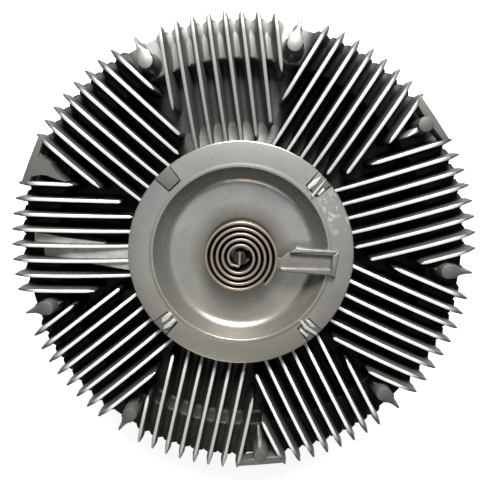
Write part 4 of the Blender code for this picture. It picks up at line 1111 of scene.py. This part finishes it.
def floor_material():
    """A pale matt floor that the camera sees near white, with the part's shadow on it."""
    made, tree, shader = start_material("studio_floor")
    shader.inputs["Base Color"].default_value = (0.8, 0.8, 0.8, 1)
    shader.inputs["Roughness"].default_value = 0.9
    shader.inputs["Specular IOR Level"].default_value = 0.0
    path = add(tree, "ShaderNodeLightPath")
    glow = add(tree, "ShaderNodeEmission", {"Color": (1, 1, 1, 1), "Strength": 0.75})
    total = add(tree, "ShaderNodeAddShader", {0: shader.outputs[0], 1: glow.outputs[0]})
    seen = path.outputs["Is Camera Ray"]
    both = add(tree, "ShaderNodeMixShader", {0: seen, 1: shader.outputs[0], 2: total.outputs[0]})
    tree.links.new(both.outputs[0], tree.nodes["Material Output"].inputs["Surface"])
    return made


def build_stage():
    """Add the floor, the lights, the world and the camera."""
    shape = bmesh.new()
    bmesh.ops.create_grid(shape, x_segments=1, y_segments=1, size=4000.0)
    floor = place("studio_floor", shape, floor_material())
    floor.location.z = -0.0005
    add_light("far_window", (0.05, 0.98, 0.95), 40.0)
    add_light("near_fill", (-0.2, -1.1, 0.9), 2.5)
    build_world()
    add_camera()
    bpy.context.scene.view_settings.view_transform = "Standard"


# Operators


class FANCLUTCH_OT_front(bpy.types.Operator):
    """Build the finned front casting"""

    bl_idname = "fanclutch.front"
    bl_label = "Front casting"

    def execute(self, context):
        # Paler, raw casting metal, as on the gate and on the beaten edges of the lugs; on the short ribs
        # inside two webs it is a painted highlight
        feed = plain_metal("cast_aluminium_feed", "dcdcd6", "aeaea8", 0.5, 0.6, 6.0, 0.8, 0.08)
        casting = front_casting(cast_aluminium(), feed, worn_and_lit_land())
        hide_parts("front_cover")
        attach(casting, "housing")
        return {"FINISHED"}


class FANCLUTCH_OT_plate(bpy.types.Operator):
    """Build the dished plate"""

    bl_idname = "fanclutch.plate"
    bl_label = "Dished plate"

    def execute(self, context):
        plate = dished_plate(pressed_steel())
        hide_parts("cover_plate")
        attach(plate, "housing")
        return {"FINISHED"}


class FANCLUTCH_OT_spiral(bpy.types.Operator):
    """Build the spiral strip, its bracket and the slotted shaft"""

    bl_idname = "fanclutch.spiral"
    bl_label = "Spiral, bracket and shaft"

    def execute(self, context):
        cover = strip_metal()
        tab_path, spiral_path = strip_paths()
        strip = laid_strip("spiral_strip", spiral_path, cover)
        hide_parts("bimetal_coil")
        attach(strip, "housing")
        tab = laid_strip("strip_tab", tab_path, cover)
        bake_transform(tab)
        # A little darker than the plate, as painted shade for the recess between the ribs, without the plate's
        # marks and painted shade
        steel = plain_metal("bracket_steel", "8e8c86", "76746e", 0.5, 0.7, 5.0, 0.5, 0.03)
        bracket = strip_bracket(steel)
        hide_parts("coil_bracket")
        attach(bracket, "housing")
        # Dark brown, so that the bright tab stands out in the slot
        brown = plain_metal("shaft_steel", "4a443c", "332d26", 0.45, 0.9, 3.0, 0.4, 0.02)
        shaft = slotted_shaft(brown)
        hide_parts("valve_shaft")
        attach(shaft, "valve")
        return {"FINISHED"}


class FANCLUTCH_OT_hidden(bpy.types.Operator):
    """Dress the pieces behind and inside"""

    bl_idname = "fanclutch.hidden"
    bl_label = "Pieces behind and inside"

    def execute(self, context):
        # Paler than the front casting, with no painted shade
        cast = plain_metal("cast_aluminium_rear", "a2a29e", "84847f", 0.5, 0.85, 12.0, 1.0, 0.08)
        # Smooth and bright, with hardly any patches
        turned = plain_metal("turned_steel", "9a9a9c", "808084", 0.3, 1.0, 14.0, 0.3, 0.01)
        # Faintly yellow fasteners
        zinc = plain_metal("zinc_plated_steel", "c2bfb2", "a6a294", 0.34, 1.0, 4.0, 0.4, 0.01)
        # Warm metal between the grey races
        brass = plain_metal("cage_brass", "c8a860", "a88a48", 0.35, 1.0, 6.0, 0.4, 0.01)
        dark = rubber()
        for item in bpy.data.objects:
            if item.type != "MESH":
                continue
            name = item.name
            if name in ("rear_housing", "rotor"):
                cover = cast
            elif name in ("plate_gasket", "valve_seal", "housing_seal"):
                cover = dark
            elif name == "bearing_cage":
                cover = brass
            elif name.startswith(("cover_screw", "fan_stud")):
                cover = zinc
            elif name.startswith(("bearing", "drive", "rotor_", "valve", "pump", "partition")):
                cover = turned
            else:
                continue
            item.data.materials.clear()
            item.data.materials.append(cover)
        for name, lip, back, side, node, body in (
            ("outer_race", 34.0, 40.0, 1, "bearing_outer_race", "housing"),
            ("inner_race", 23.5, 17.5, -1, "bearing_inner_race", "drive"),
        ):
            race = bearing_race(name, lip, back, side, turned)
            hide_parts(node)
            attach(race, body)
        return {"FINISHED"}


class FANCLUTCH_OT_stage(bpy.types.Operator):
    """Set up the floor, the lights and the camera"""

    bl_idname = "fanclutch.stage"
    bl_label = "Studio"

    def execute(self, context):
        build_stage()
        return {"FINISHED"}


class FANCLUTCH_PT_panel(bpy.types.Panel):
    """The clutch's settings and steps."""

    bl_idname = "FANCLUTCH_PT_panel"
    bl_label = "Fan clutch"
    bl_space_type = "VIEW_3D"
    bl_region_type = "UI"
    bl_category = "Fan clutch"

    def draw(self, context):
        chosen = context.scene.fan_clutch
        for key in ClutchSettings.__annotations__:
            self.layout.prop(chosen, key)
        for operator in OPERATORS:
            self.layout.operator(operator.bl_idname)


OPERATORS = (
    FANCLUTCH_OT_hidden,
    FANCLUTCH_OT_front,
    FANCLUTCH_OT_plate,
    FANCLUTCH_OT_spiral,
    FANCLUTCH_OT_stage,
)
CLASSES = (ClutchSettings, *OPERATORS, FANCLUTCH_PT_panel)


def register():
    """Register the classes and the settings."""
    for item in CLASSES:
        bpy.utils.register_class(item)
    bpy.types.Scene.fan_clutch = bpy.props.PointerProperty(type=ClutchSettings)


def unregister():
    """Remove the classes and the settings."""
    del bpy.types.Scene.fan_clutch
    for item in reversed(CLASSES):
        bpy.utils.unregister_class(item)


def main():
    """Build the scene in order."""
    register()
    bpy.ops.fanclutch.hidden()
    bpy.ops.fanclutch.front()
    bpy.ops.fanclutch.plate()
    bpy.ops.fanclutch.spiral()
    bpy.ops.fanclutch.stage()


if __name__ == "__main__":
    main()
